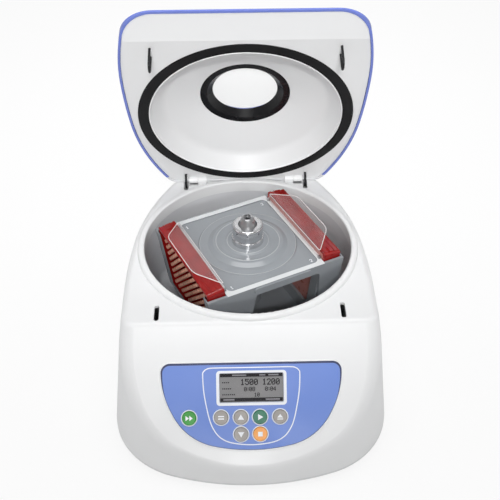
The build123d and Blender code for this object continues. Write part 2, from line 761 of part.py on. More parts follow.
with BuildPart() as motor_dampers:
    damper_half = (MOTOR_PLATE_Z - TRAY_TOP) / 2
    for height, way in ((TRAY_TOP, 1), (MOTOR_PLATE_Z, -1)):
        with BuildSketch(Plane.XY.offset(height)):
            with Locations(*DAMPERS):
                Circle(DAMPER_RADIUS)
        extrude(amount=way * damper_half, taper=DAMPER_TAPER)
    with BuildSketch(Plane.XY.offset(TRAY_TOP)):
        with Locations(*DAMPERS):
            Circle(SCREW_RADIUS + SKIN_GAP)
    extrude(amount=MOTOR_PLATE_Z - TRAY_TOP, mode=Mode.SUBTRACT)
save(motor_dampers.part, "motor_dampers")
save(screws(DAMPERS, MOTOR_PLATE_Z + MOTOR_PLATE, FOOT_HEIGHT, up=-1), "damper_screws")

MOTOR_Z = MOTOR_PLATE_Z + MOTOR_PLATE
TUBE_TOP = MOTOR_Z + TUBE_HEIGHT
with BuildPart() as bearing_tube:
    add(ring(Plane.XY.offset(MOTOR_Z), TUBE_FLANGE_RADIUS, BEARING_RADIUS, TUBE_FLANGE))
    add(ring(Plane.XY.offset(MOTOR_Z), TUBE_RADIUS, BEARING_RADIUS, TUBE_HEIGHT))
save(bearing_tube.part, "bearing_tube")

BEARING_BORE = SHAFT_RADIUS + SHAFT_CLEARANCE
with BuildPart() as shaft_bearings:
    for height in (MOTOR_Z + 0.5, TUBE_TOP - BEARING_WIDTH):
        with BuildSketch(Plane.XY.offset(height)):
            Circle(BEARING_RADIUS)
            Circle(BEARING_BORE, mode=Mode.SUBTRACT)
        extrude(amount=BEARING_WIDTH)
        for face_z, way in ((height, 1), (height + BEARING_WIDTH, -1)):
            with BuildSketch(Plane.XY.offset(face_z)):
                Circle(BEARING_RADIUS - BEARING_RACE)
                Circle(BEARING_BORE + BEARING_RACE, mode=Mode.SUBTRACT)
            extrude(amount=BEARING_GROOVE * way, mode=Mode.SUBTRACT)
save(shaft_bearings.part, "shaft_bearings")

CORE_Z = MOTOR_Z + CORE_RISE
TOOTH_INNER = TUBE_RADIUS + CORE_HUB
with BuildPart() as stator_core:
    with BuildSketch(Plane.XY.offset(CORE_Z)):
        Circle(STATOR_RADIUS)
        Circle(TUBE_RADIUS, mode=Mode.SUBTRACT)
        with PolarLocations((TOOTH_INNER + TOOTH_OUTER) / 2, COIL_COUNT, start_angle=180 / COIL_COUNT):
            Rectangle(TOOTH_OUTER - TOOTH_INNER, TOOTH_SLOT, mode=Mode.SUBTRACT)
        with PolarLocations(STATOR_RADIUS, COIL_COUNT, start_angle=180 / COIL_COUNT):
            Rectangle(TOOTH_SLOT, TOOTH_GAP, mode=Mode.SUBTRACT)
    extrude(amount=CORE_HEIGHT)
save(stator_core.part, "stator_core")

BELL_UNDER = TUBE_TOP + SKIN_GAP
with BuildPart() as motor_bell:
    with BuildSketch(Plane.XZ):
        with BuildLine():
            Polyline(
                (SHAFT_RADIUS, BELL_UNDER + BELL_WALL),
                (TUBE_RADIUS + BELL_HUB, BELL_UNDER + BELL_WALL),
                (TUBE_RADIUS + BELL_HUB, TUBE_TOP + 1),
                (BELL_RADIUS, TUBE_TOP + 1),
                (BELL_RADIUS, MOTOR_Z + BELL_LIFT),
                (BELL_RADIUS - BELL_WALL, MOTOR_Z + BELL_LIFT),
                (BELL_RADIUS - BELL_WALL, TUBE_TOP + 1 - BELL_WALL),
                (TUBE_RADIUS + MOTOR_GAP, TUBE_TOP + 1 - BELL_WALL),
                (TUBE_RADIUS + MOTOR_GAP, BELL_UNDER),
                (SHAFT_RADIUS, BELL_UNDER),
                close=True,
            )
        make_face()
    revolve(axis=Axis.Z)
    add(ring(Plane.XY.offset(TUBE_TOP + 1), SHAFT_RADIUS + BELL_HUB, SHAFT_RADIUS, BELL_HUB))
save(motor_bell.part, "motor_bell")
magnets = ring(
    Plane.XY.offset(CORE_Z - 1), BELL_RADIUS - BELL_WALL, STATOR_RADIUS + MOTOR_GAP, CORE_HEIGHT + 2
)
save(magnets, "magnet_ring")

with BuildPart() as spindle_shaft:
    add(ring(Plane.XY.offset(MOTOR_PLATE_Z + 1), SHAFT_RADIUS, 0, SEAT_Z - MOTOR_PLATE_Z - 1))
    add(ring(Plane.XY.offset(SEAT_Z - SEAT_THICK), SEAT_RADIUS, 0, SEAT_THICK))
    add(ring(Plane.XY.offset(SEAT_Z), NOSE_RADIUS, 0, NOSE_TOP - SEAT_Z))
    chamfer(spindle_shaft.edges().group_by(Axis.Z)[-1], 1)
save(spindle_shaft.part, "spindle_shaft")

# Rotor: a frame that turns with the spindle, the same seen from either end
ROTOR_SIDES = (ROTOR, Plane((0, 0, 0), x_dir=-ROTOR.x_dir, z_dir=(0, 0, 1)))
TILT = radians(PLATE_TILT)
INNER_V = ROTOR_HALF_V - ROTOR_SHEET
ROTOR_UNDER = ROTOR_TOP_Z - ROTOR_SHEET
FRAME_BASE = ROTOR_FLOOR_Z - ROTOR_SHEET
CROWN_FOOT = ROTOR_TOP_Z - TOP_RECESS
CROWN_TOP = CROWN_FOOT + CROWN_STEPS[-1][1]
KNOB_Z = CROWN_TOP + KNOB_GAP
WELL_TAPER = degrees(atan2(WELL_TOP_RADIUS - WELL_TIP_RADIUS, WELL_DEPTH - PLATE_DECK))


def wall_u(z):
    """How far out the pocket's leaning inner wall stands at a height."""
    return ROTOR_HALF_U + (z - ROTOR_TOP_Z) * tan(TILT)


def end_u(z):
    """How far out the end wall's slanting edge stands at a height."""
    share = (z - FRAME_BASE) / (ROTOR_TOP_Z - FRAME_BASE)
    return END_WALL_BOTTOM + share * (END_WALL_TOP - END_WALL_BOTTOM)


with BuildPart() as rotor_frame:
    with BuildSketch(ROTOR.offset(ROTOR_UNDER)):
        Rectangle(2 * wall_u(ROTOR_UNDER), 2 * ROTOR_HALF_V)
    extrude(amount=ROTOR_SHEET)
    with BuildSketch(ROTOR.offset(FRAME_BASE)):
        Rectangle(2 * END_WALL_BOTTOM, 2 * ROTOR_HALF_V)
    extrude(amount=ROTOR_SHEET)
    for side in ROTOR_SIDES:
        with BuildSketch(front_on(side, -INNER_V)):
            with BuildLine():
                Polyline(
                    (-END_WALL_BOTTOM, FRAME_BASE),
                    (END_WALL_BOTTOM, FRAME_BASE),
                    (END_WALL_TOP, ROTOR_TOP_Z),
                    (-END_WALL_TOP, ROTOR_TOP_Z),
                    close=True,
                )
            make_face()
        extrude(amount=ROTOR_SHEET)
        with BuildSketch(front_on(side, INNER_V)):
            with BuildLine():
                Polyline(
                    (wall_u(ROTOR_FLOOR_Z), ROTOR_FLOOR_Z),
                    (wall_u(ROTOR_UNDER), ROTOR_UNDER),
                    (wall_u(ROTOR_UNDER) - ROTOR_SHEET, ROTOR_UNDER),
                    (wall_u(ROTOR_FLOOR_Z) - ROTOR_SHEET, ROTOR_FLOOR_Z),
                    close=True,
                )
            make_face()
        extrude(amount=2 * INNER_V)
        for v, way in ((-INNER_V, -1), (INNER_V - FLANGE_LENGTH, -1)):
            with BuildSketch(front_on(side, v)):
                with BuildLine():
                    Polyline(
                        (end_u(ROTOR_FLOOR_Z), ROTOR_FLOOR_Z),
                        (end_u(ROTOR_TOP_Z), ROTOR_TOP_Z),
                        (end_u(ROTOR_TOP_Z) - FLANGE_SHEET, ROTOR_TOP_Z),
                        (end_u(ROTOR_FLOOR_Z) - FLANGE_SHEET, ROTOR_FLOOR_Z),
                        close=True,
                    )
                make_face()
            extrude(amount=FLANGE_LENGTH * way)
        with BuildSketch(side_on(side, 0)):
            with Locations((0, (SIDE_WINDOW_LOW + SIDE_WINDOW_HIGH) / 2)):
                RectangleRounded(SIDE_WINDOW_LENGTH, SIDE_WINDOW_HIGH - SIDE_WINDOW_LOW, SIDE_WINDOW_CORNER)
        extrude(amount=ROTOR_HALF_U, mode=Mode.SUBTRACT)
        with BuildSketch(front_on(side, -INNER_V + 1)):
            with BuildLine():
                Polyline(
                    (END_WINDOW_RIGHT, END_WINDOW_LOW),
                    (END_WINDOW_RIGHT, END_WINDOW_HIGH),
                    (END_WINDOW_LEFT, END_WINDOW_HIGH),
                    (END_WINDOW_LEFT - END_WINDOW_ROUND, END_WINDOW_LOW),
                    close=True,
                )
            window = make_face()
            fillet(window.vertices().group_by(Axis.X)[-1], END_WINDOW_CORNER)
            fillet(window.vertices().group_by(Axis.X)[0], END_WINDOW_ROUND)
            fillet(window.vertices().sort_by(Axis.X)[2:4].sort_by(Axis.Y)[-1], END_WINDOW_SWEEP)
        extrude(amount=ROTOR_SHEET + 2, mode=Mode.SUBTRACT)
        with BuildSketch(front_on(side, -ROTOR_HALF_V)):
            with Locations(((LIP_LEFT + LIP_RIGHT) / 2, ROTOR_TOP_Z - LIP_TALL / 2 - 1)):
                SlotOverall(LIP_RIGHT - LIP_LEFT, LIP_TALL)
        extrude(amount=LIP_PROUD)
    with BuildSketch(ROTOR.offset(SEAT_Z)):
        Circle(COLUMN_RADIUS)
    extrude(amount=CROWN_TOP - SEAT_Z)
    with BuildSketch(ROTOR.offset(ROTOR_TOP_Z - TOP_RECESS)):
        RectangleRounded(2 * (ROTOR_HALF_U - TOP_BORDER), 2 * (ROTOR_HALF_V - TOP_MARGIN), TOP_CORNER)
    extrude(amount=TOP_RECESS, mode=Mode.SUBTRACT)
    with BuildSketch(ROTOR.offset(ROTOR_UNDER)):
        Circle(CROWN_STEPS[1][0] - CROWN_SHEET)
        Circle(COLUMN_RADIUS, mode=Mode.SUBTRACT)
    extrude(amount=ROTOR_SHEET, mode=Mode.SUBTRACT)
    with BuildSketch(Plane.XZ):
        with BuildLine():
            Polyline(
                *[(radius, CROWN_FOOT + rise) for radius, rise in CROWN_STEPS],
                (0, CROWN_TOP),
                (0, CROWN_TOP - CROWN_SHEET),
                *[(radius, CROWN_FOOT + rise - CROWN_SHEET) for radius, rise in reversed(CROWN_STEPS)],
                close=True,
            )
        make_face()
    revolve(axis=Axis.Z)
    with BuildSketch(ROTOR.offset(SEAT_Z)):
        Circle(NOSE_RADIUS + SHAFT_CLEARANCE)
    extrude(amount=CROWN_TOP - SEAT_Z, mode=Mode.SUBTRACT)
save(rotor_frame.part, "rotor_frame")


def plate_plane(side):
    """The inner face of a standing plate: x along it, y up it, z outward."""
    low = ROTOR_FLOOR_Z + PLATE_SKIRT * sin(TILT) + PLATE_CLEARANCE
    out = side.x_dir * cos(TILT) - Vector(0, 0, 1) * sin(TILT)
    corner = side.from_local_coords((wall_u(low) + PLATE_CLEARANCE + SEAL_THICK, 0, low))
    return Plane(corner, x_dir=side.y_dir, z_dir=out)


def well_plate(side):
    """A 96 well plate on edge: a deck, a shallow skirt and rows of tapering wells."""
    base = plate_plane(side)
    with BuildPart() as made:
        with BuildSketch(base):
            with Locations((0, PLATE_HEIGHT / 2)):
                RectangleRounded(PLATE_LENGTH, PLATE_HEIGHT, PLATE_ROUND)
        extrude(amount=PLATE_SKIRT)
        with BuildSketch(base.offset(PLATE_DECK)):
            with Locations((0, PLATE_HEIGHT / 2)):
                RectangleRounded(PLATE_LENGTH - PLATE_ROUND, PLATE_HEIGHT - PLATE_ROUND, PLATE_ROUND / 2)
        extrude(amount=PLATE_SKIRT, mode=Mode.SUBTRACT)
        with BuildSketch(base.offset(PLATE_DECK)):
            with Locations((0, PLATE_HEIGHT / 2)):
                with GridLocations(WELL_PITCH, WELL_PITCH, WELL_COLUMNS, WELL_ROWS):
                    Circle(WELL_TOP_RADIUS)
        extrude(amount=WELL_DEPTH - PLATE_DECK, taper=WELL_TAPER)
    return made.part


def well_seal(side):
    """The thin sheet that closes a plate's wells."""
    with BuildPart() as made:
        with BuildSketch(plate_plane(side).offset(-SEAL_THICK)):
            with Locations((0, PLATE_HEIGHT / 2)):
                RectangleRounded(PLATE_LENGTH - SEAL_BORDER, PLATE_HEIGHT - SEAL_BORDER, PLATE_ROUND)
        extrude(amount=SEAL_THICK)
    return made.part


def flap(side):
    """A clear flap over a plate: a pin, an upright strip and a wing cut narrower at its tip."""
    pin_u = ROTOR_HALF_U - PIN_INSET
    pin_z = ROTOR_TOP_Z + PIN_RISE
    inner = pin_u + FLAP_GAP
    knee = pin_z + FLAP_UPRIGHT
    climb = (FLAP_REACH - inner - FLAP_SHEET) * tan(radians(FLAP_SLOPE))
    with BuildPart() as made:
        with BuildSketch(front_on(side, FLAP_LENGTH / 2)):
            with BuildLine():
                Polyline(
                    (inner, pin_z),
                    (inner + FLAP_SHEET, pin_z),
                    (inner + FLAP_SHEET, knee),
                    (FLAP_REACH, knee + climb),
                    (FLAP_REACH, knee + FLAP_SHEET + climb),
                    (inner, knee + FLAP_SHEET),
                    close=True,
                )
            make_face()
        extrude(amount=FLAP_LENGTH)
        with BuildSketch(side.offset(ROTOR_TOP_Z)) as plan:
            with BuildLine():
                Polyline(
                    (pin_u, -FLAP_LENGTH / 2),
                    (inner + 2, -FLAP_LENGTH / 2),
                    (FLAP_REACH, -FLAP_TIP_LENGTH / 2),
                    (FLAP_REACH, FLAP_TIP_LENGTH / 2),
                    (inner + 2, FLAP_LENGTH / 2),
                    (pin_u, FLAP_LENGTH / 2),
                    close=True,
                )
            make_face()
            fillet(plan.vertices().sort_by(Axis.X)[-2:], FLAP_CORNER)
        extrude(amount=KNOB_HEIGHT, mode=Mode.INTERSECT)
        with BuildSketch(front_on(side, FLAP_LENGTH / 2 + CLIP_WIDTH)):
            with Locations((pin_u, pin_z)):
                Circle(FLAP_PIN_RADIUS)
        extrude(amount=FLAP_LENGTH + 2 * CLIP_WIDTH)
    return made.part


for side, word in zip(ROTOR_SIDES, ("right", "left")):
    save(well_plate(side), f"well_plate_{word}")
    save(well_seal(side), f"plate_seal_{word}")
    save(flap(side), f"flap_{word}")

with BuildPart() as flap_clips:
    for side in ROTOR_SIDES:
        for v in (-FLAP_LENGTH / 2 - CLIP_GAP, FLAP_LENGTH / 2 + CLIP_GAP + CLIP_WIDTH):
            with BuildSketch(front_on(side, v)):
                with Locations((ROTOR_HALF_U - PIN_INSET, ROTOR_TOP_Z + CLIP_HEIGHT / 2)):
                    Rectangle(CLIP_HEIGHT - FLAP_GAP, CLIP_HEIGHT)
                with Locations((ROTOR_HALF_U - PIN_INSET, ROTOR_TOP_Z + PIN_RISE)):
                    Circle(FLAP_PIN_RADIUS + PIN_CLEARANCE, mode=Mode.SUBTRACT)
            extrude(amount=CLIP_WIDTH)
save(flap_clips.part, "flap_clips")

# Knob that clamps the rotor on the spindle's nose
KNOB_TOP = KNOB_Z + KNOB_HEIGHT
with BuildPart() as rotor_knob:
    add(ring(Plane.XY.offset(KNOB_Z), KNOB_FLANGE_RADIUS, 0, KNOB_FLANGE))
    add(ring(Plane.XY.offset(KNOB_Z), KNOB_RADIUS, 0, KNOB_HEIGHT))
    fillet(rotor_knob.edges().group_by(Axis.Z)[-1], KNOB_ROUND)
    fillet(rotor_knob.faces().filter_by(Axis.Z).sort_by(Axis.Z)[1].outer_wire().edges(), FLANGE_ROUND)
    with BuildSketch(Plane.XY.offset(KNOB_TOP - KNOB_RECESS)):
        Circle(KNOB_RECESS_RADIUS)
    extrude(amount=KNOB_RECESS, mode=Mode.SUBTRACT)
    with BuildSketch(Plane.XY.offset(KNOB_Z)):
        Circle(NOSE_RADIUS + PIN_CLEARANCE)
    extrude(amount=NOSE_TOP - KNOB_Z + 1, mode=Mode.SUBTRACT)
    for angle in range(0, 360, KNOB_HOLE_STEP):
        with BuildSketch(
            Plane(
                (0, 0, KNOB_TOP - KNOB_HOLE_DROP),
                x_dir=(-sin(radians(angle)), cos(radians(angle)), 0),
                z_dir=(cos(radians(angle)), sin(radians(angle)), 0),
            ).offset(KNOB_RADIUS - KNOB_HOLE_DEPTH)
        ):
            Circle(KNOB_HOLE)
        extrude(amount=KNOB_HOLE_DEPTH + 1, mode=Mode.SUBTRACT)
save(rotor_knob.part, "rotor_knob")

# Domed screw in the knob's recess, with a hexagon socket
SCREW_SEAT = KNOB_TOP - KNOB_RECESS
with BuildPart() as knob_screw:
    with BuildSketch(Plane.XZ):
        with BuildLine():
            Polyline(
                (0, SCREW_SEAT),
                (KNOB_RECESS_RADIUS - KNOB_SCREW_GAP, SCREW_SEAT),
                *[(radius, KNOB_TOP + rise) for radius, rise in KNOB_SCREW_STEPS],
                (0, KNOB_TOP + KNOB_SCREW_STEPS[-1][1]),
                close=True,
            )
        make_face()
    revolve(axis=Axis.Z)
    with BuildSketch(Plane.XY.offset(KNOB_TOP)):
        RegularPolygon(KNOB_SOCKET_RADIUS, 6)
    extrude(amount=KNOB_HEIGHT, mode=Mode.SUBTRACT)
save(knob_screw.part, "knob_screw")

# Lid: a domed shell, a white inner panel with a dish, the seal and the window
LID_CENTRE_Y = (LID_FRONT + LID_BACK) / 2


def lid_outline(inset=0.0):
    """The lid's plan, drawn in by inset, in its own plane."""
    first, turn, second = rear_arcs(
        LID_HALF, LID_SIDE_Y, LID_BLEND_Y, LID_LONG_RADIUS, LID_REAR_RADIUS
    )
    back_y = LID_BACK - LID_BACK_CORNER
    reach = LID_REAR_RADIUS - LID_BACK_CORNER
    end = asin((back_y - second[1]) / reach)
    back_x = second[0] + reach * cos(end)
    side_centre = (LID_HALF - LID_FRONT_SIDE_RADIUS, LID_SIDE_Y)
    front_y = LID_FRONT + LID_FRONT_CORNER
    lean = asin((LID_SIDE_Y - front_y) / (LID_FRONT_SIDE_RADIUS - LID_FRONT_CORNER))
    front_x = side_centre[0] + (LID_FRONT_SIDE_RADIUS - LID_FRONT_CORNER) * cos(lean)
    with BuildSketch() as plan:
        with BuildLine():
            Line((0, LID_FRONT + inset), (front_x, LID_FRONT + inset))
            CenterArc((front_x, front_y), LID_FRONT_CORNER - inset, -90, 90 - degrees(lean))
            CenterArc(side_centre, LID_FRONT_SIDE_RADIUS - inset, -degrees(lean), degrees(lean))
            CenterArc(first, LID_LONG_RADIUS - inset, 0, turn)
            CenterArc(second, LID_REAR_RADIUS - inset, turn, degrees(end) - turn)
            CenterArc((back_x, back_y), LID_BACK_CORNER - inset, degrees(end), 90 - degrees(end))
            Line((back_x, LID_BACK - inset), (0, LID_BACK - inset))
            mirror(about=Plane.YZ)
        make_face()
    return plan.sketch


def dome(inset=0.0):
    """The lid's outside shape: a low upright band and a crown blended up to a flat top."""
    with BuildPart() as crown:
        with BuildSketch(LID):
            add(lid_outline(inset))
        extrude(amount=LID_BAND - inset / 2)
        for share, rise in DOME_STEPS:
            middle = Pos(0, LID_CENTRE_Y)
            with BuildSketch(LID.offset(rise - inset * (0.5 if share == 1 else 1))):
                add(middle * scale(middle.inverse() * lid_outline(inset), by=share, mode=Mode.PRIVATE))
        loft()
    return crown.part


LIP_SLOPE = tan(radians(LIP_ANGLE))
LIP_REACH = LIP_FOLD_Y - LID_FRONT


def under_lip(height, thick, far=0.0):
    """The section of a sheet that lies flat under the lid and bends up at the lip."""
    end = LIP_REACH + far
    Polyline(
        (LID_BACK + far, height),
        (LIP_FOLD_Y, height),
        (LIP_FOLD_Y - end, height + end * LIP_SLOPE),
        (LIP_FOLD_Y - end, height + end * LIP_SLOPE + thick),
        (LIP_FOLD_Y, height + thick),
        (LID_BACK + far, height + thick),
        close=True,
    )


with BuildPart() as lid_outer:
    add(dome())
    add(dome(LID_SKIN), mode=Mode.SUBTRACT)
    with BuildSketch(side_on(LID, -LID_HALF - 1)):
        with BuildLine():
            under_lip(-LID_RISE, LID_RISE, far=1)
        make_face()
    extrude(amount=2 * LID_HALF + 2, mode=Mode.SUBTRACT)
    with BuildSketch(LID.offset(LID_RISE - 2 * LID_SKIN)):
        Circle(PANE_RADIUS + SKIN_GAP)
    extrude(amount=3 * LID_SKIN, mode=Mode.SUBTRACT)
    with BuildSketch(LID.offset(-1)):
        for side in HINGE_SIDES:
            with Locations((side * (NOTCH_X + NOTCH_END) / 2, HINGE_Y)):
                Rectangle(NOTCH_END - NOTCH_X, 2 * KNUCKLE_RADIUS + 4)
    extrude(amount=KNUCKLE_RADIUS + 2, mode=Mode.SUBTRACT)
save(lid_outer.part, "lid_outer")

with BuildPart() as lid_inner:
    with BuildSketch(side_on(LID, -LID_HALF)):
        with BuildLine():
            under_lip(LID_UNDERSIDE, LID_SHEET)
        make_face()
    extrude(amount=2 * LID_HALF)
    add(dome(LID_SKIN + SKIN_GAP), mode=Mode.INTERSECT)
    with BuildSketch(LID.offset(LID_UNDERSIDE)):
        Circle(DISH_RADIUS + LID_SHEET)
    extrude(amount=LID_SHEET, mode=Mode.SUBTRACT)
    with BuildSketch(side_on(LID)):
        with BuildLine():
            Polyline(
                (DISH_RADIUS + 2 * LID_SHEET, LID_UNDERSIDE),
                (DISH_RADIUS, LID_UNDERSIDE),
                (DISH_KNEE_RADIUS, DISH_KNEE_Z),
                (WINDOW_RING_OUTER + SKIN_GAP, WINDOW_RING_Z),
                (WINDOW_RING_OUTER + SKIN_GAP, WINDOW_RING_Z + 1.4 * LID_SHEET),
                (DISH_KNEE_RADIUS + 0.3 * LID_SHEET, DISH_KNEE_Z + 1.2 * LID_SHEET),
                (DISH_RADIUS + LID_SHEET, LID_UNDERSIDE + LID_SHEET),
                (DISH_RADIUS + 2 * LID_SHEET, LID_UNDERSIDE + LID_SHEET),
                close=True,
            )
        make_face()
    revolve(axis=Axis(LID.origin, LID.z_dir))
    with BuildSketch(LID.offset(LID_UNDERSIDE)):
        Circle(GASKET_OUTER + GASKET_GAP)
        Circle(GASKET_INNER - GASKET_GAP, mode=Mode.SUBTRACT)
    extrude(amount=GASKET_SEAT, mode=Mode.SUBTRACT)
    knee = lid_inner.edges().filter_by(GeomType.CIRCLE).filter_by(
        lambda e: abs(e.radius - DISH_KNEE_RADIUS) < 0.01
    )
    fillet(knee, DISH_ROUND)
    with BuildSketch(LID):
        for side in HINGE_SIDES:
            with Locations((side * (NOTCH_X + NOTCH_END) / 2, HINGE_Y + KNUCKLE_RADIUS)):
                Rectangle(NOTCH_END - NOTCH_X, 4 * KNUCKLE_RADIUS)
        for x in (-LOOP_X, LOOP_X):
            for y in (LOOP_Y - LOOP_HALF_WIDTH, LOOP_Y + LOOP_HALF_WIDTH):
                with Locations((x, y)):
                    Circle(LOOP_WIRE + PIN_CLEARANCE)
        for side in HINGE_SIDES:
            with Locations((side * STAY_X, HINGE_Y - STAY_RADIUS + SKIN_GAP)):
                Circle(STAY_WIRE + 3 * SKIN_GAP)
    extrude(amount=KNUCKLE_RADIUS + 2, mode=Mode.SUBTRACT)
save(lid_inner.part, "lid_inner")

GASKET_TOP = LID_UNDERSIDE + GASKET_SEAT
with BuildPart() as lid_gasket:
    add(ring(LID.offset(GASKET_FACE), GASKET_OUTER, GASKET_INNER, GASKET_TOP - GASKET_FACE))
    circles = lid_gasket.edges().filter_by(GeomType.CIRCLE)
    lower = circles.sort_by(lambda e: LID.to_local_coords(e.center()).Z)[0:2]
    fillet(lower, GASKET_ROUND)
save(lid_gasket.part, "lid_gasket")

with BuildPart() as window_ring:
    with BuildSketch(side_on(LID)):
        with BuildLine():
            Polyline(
                (WINDOW_RING_OUTER, WINDOW_RING_Z),
                (WINDOW_RING_OUTER - WINDOW_BEVEL, WINDOW_RING_Z + 0.5),
                (WINDOW_RADIUS, WINDOW_SHELF_Z - 1.6),
                (WINDOW_RADIUS, WINDOW_SHELF_Z),
                (PANE_RADIUS + PRESS_GAP, WINDOW_SHELF_Z),
                (PANE_RADIUS + PRESS_GAP, LID_RISE - LID_SKIN - PRESS_GAP),
                (WINDOW_RING_OUTER, LID_RISE - LID_SKIN - PRESS_GAP),
                close=True,
            )
        make_face()
    revolve(axis=Axis(LID.origin, LID.z_dir))
save(window_ring.part, "window_ring")
save(ring(LID.offset(WINDOW_SHELF_Z), PANE_RADIUS, 0, PANE_THICK), "window_pane")

# Wire loops that the latches catch, on strips above the inner panel
SHEET_TOP = LID_UNDERSIDE + LID_SHEET
with BuildPart() as latch_loops:
    for x in (-LOOP_X, LOOP_X):
        with BuildLine(side_on(LID, x)) as wire:
            start = (LOOP_Y - LOOP_HALF_WIDTH, SHEET_TOP + 1)
            Line(start, (LOOP_Y - LOOP_HALF_WIDTH, -LOOP_DROP + LOOP_HALF_WIDTH + LOOP_WIRE))
            ThreePointArc(
                (LOOP_Y - LOOP_HALF_WIDTH, -LOOP_DROP + LOOP_HALF_WIDTH + LOOP_WIRE),
                (LOOP_Y, -LOOP_DROP + LOOP_WIRE),
                (LOOP_Y + LOOP_HALF_WIDTH, -LOOP_DROP + LOOP_HALF_WIDTH + LOOP_WIRE),
            )
            Line(
                (LOOP_Y + LOOP_HALF_WIDTH, -LOOP_DROP + LOOP_HALF_WIDTH + LOOP_WIRE),
                (LOOP_Y + LOOP_HALF_WIDTH, SHEET_TOP + 1),
            )
        with BuildSketch(placed(LID, x, LOOP_Y - LOOP_HALF_WIDTH, SHEET_TOP + 1)):
            Circle(LOOP_WIRE)
        sweep(path=wire.line)
        with BuildSketch(placed(LID, x, LOOP_Y, SHEET_TOP)):
            RectangleRounded(LOOP_STRIP, 2 * LOOP_HALF_WIDTH + LOOP_STRIP, STRIP_CORNER)
        extrude(amount=2)
save(latch_loops.part, "latch_loops")

# Hinge: fixed knuckles on the deck, knuckles on the lid, their pins and the curved stays
HINGE_AXIS_PLANE = Plane((0, HINGE_Y, RIM_Z), x_dir=(0, 1, 0), z_dir=(1, 0, 0))
LID_HINGE_PLANE = side_on(placed(LID, 0, HINGE_Y, 0))
PIN_BORE = HINGE_PIN_RADIUS + PIN_CLEARANCE


def span(side, near, far):
    """Where an extrusion along X starts, so that it fills near to far on one side."""
    return near if side > 0 else -far


with BuildPart() as hinge_blocks:
    for side in HINGE_SIDES:
        with BuildSketch(HINGE_AXIS_PLANE.offset(span(side, KNUCKLE_X, KNUCKLE_END))):
            Circle(KNUCKLE_RADIUS)
            with BuildLine():
                Polyline(
                    (KNUCKLE_RADIUS, 0),
                    (-KNUCKLE_RADIUS, 0),
                    (-KNUCKLE_RADIUS, DECK_UNDER - RIM_Z - WALL),
                    (HINGE_FOOT - WALL, DECK_UNDER - RIM_Z - WALL),
                    (HINGE_FOOT - WALL, DECK_UNDER - RIM_Z),
                    (KNUCKLE_RADIUS, DECK_UNDER - RIM_Z),
                    close=True,
                )
            make_face()
            Circle(PIN_BORE, mode=Mode.SUBTRACT)
        extrude(amount=KNUCKLE_LENGTH)
save(hinge_blocks.part, "hinge_blocks")

with BuildPart() as lid_knuckles:
    for side in HINGE_SIDES:
        with BuildSketch(LID_HINGE_PLANE.offset(span(side, LID_KNUCKLE_X, LID_KNUCKLE_END))):
            Circle(KNUCKLE_RADIUS)
            with BuildLine():
                Polyline(
                    (-KNUCKLE_RADIUS, 0),
                    (-KNUCKLE_RADIUS, SHEET_TOP),
                    (-HINGE_FOOT, SHEET_TOP),
                    (-HINGE_FOOT, SHEET_TOP + 2),
                    (0, SHEET_TOP + 2),
                    (KNUCKLE_RADIUS, 0),
                    close=True,
                )
            make_face()
            Circle(HINGE_PIN_RADIUS, mode=Mode.SUBTRACT)
        extrude(amount=KNUCKLE_LENGTH)
save(lid_knuckles.part, "lid_knuckles")

with BuildPart() as hinge_pins:
    for side in HINGE_SIDES:
        with BuildSketch(HINGE_AXIS_PLANE.offset(span(side, KNUCKLE_X, LID_KNUCKLE_END))):
            Circle(HINGE_PIN_RADIUS)
        extrude(amount=LID_KNUCKLE_END - KNUCKLE_X)
save(hinge_pins.part, "hinge_pins")

with BuildPart() as lid_stays:
    for side in HINGE_SIDES:
        centre = side_on(placed(LID, side * STAY_X, HINGE_Y, 0))
        top = degrees(asin(SHEET_TOP / STAY_RADIUS))
        with BuildLine(centre) as bow:
            CenterArc((0, 0), STAY_RADIUS, 180 - top, top + STAY_SWEEP)
        with BuildSketch(Plane(bow.line @ 0, z_dir=bow.line % 0)):
            Circle(STAY_WIRE)
        sweep(path=bow.line)
        with BuildSketch(placed(LID, side * STAY_X, HINGE_Y - STAY_RADIUS - 1, SHEET_TOP)):
            RectangleRounded(STAY_STRIP, 2 * HINGE_FOOT / 2, STRIP_CORNER)
        extrude(amount=2)
save(lid_stays.part, "lid_stays")

# Latches: a bracket under each slot, a coil, and a bolt that slides through the loop
BOLT_START = LOOP_X + SLOT_WIDTH / 2 + 0.5
with BuildPart() as latch_brackets:
    for side in HINGE_SIDES:
        with BuildSketch(Plane.XY.offset(BOLT_Z - BRACKET_DEPTH)):
            with Locations((side * LOOP_X, SLOT_Y)):
                RectangleRounded(BRACKET_WIDTH, SLOT_LENGTH + BRACKET_LIP, 1)
                SlotOverall(SLOT_LENGTH, SLOT_WIDTH, rotation=90, mode=Mode.SUBTRACT)
        extrude(amount=DECK_UNDER - 2 * SKIN_GAP - BOLT_Z + BRACKET_DEPTH)
    with BuildSketch(Plane.YZ.offset(-LOOP_X - BRACKET_WIDTH)):
        with Locations((LOOP_Y, BOLT_Z)):
            Circle(BOLT_RADIUS + BOLT_CLEARANCE)
    extrude(amount=2 * LOOP_X + 2 * BRACKET_WIDTH, mode=Mode.SUBTRACT)
save(latch_brackets.part, "latch_brackets")

COIL_START = LOOP_X + BRACKET_WIDTH / 2
with BuildPart() as latch_coils:
    for side in HINGE_SIDES:
        with BuildSketch(Plane.YZ.offset(span(side, COIL_START, COIL_START + COIL_LENGTH))):
            with Locations((LOOP_Y, BOLT_Z)):
                Circle(COIL_RADIUS)
                Circle(BOLT_RADIUS + BOLT_CLEARANCE, mode=Mode.SUBTRACT)
        extrude(amount=COIL_LENGTH)
save(latch_coils.part, "latch_coils")

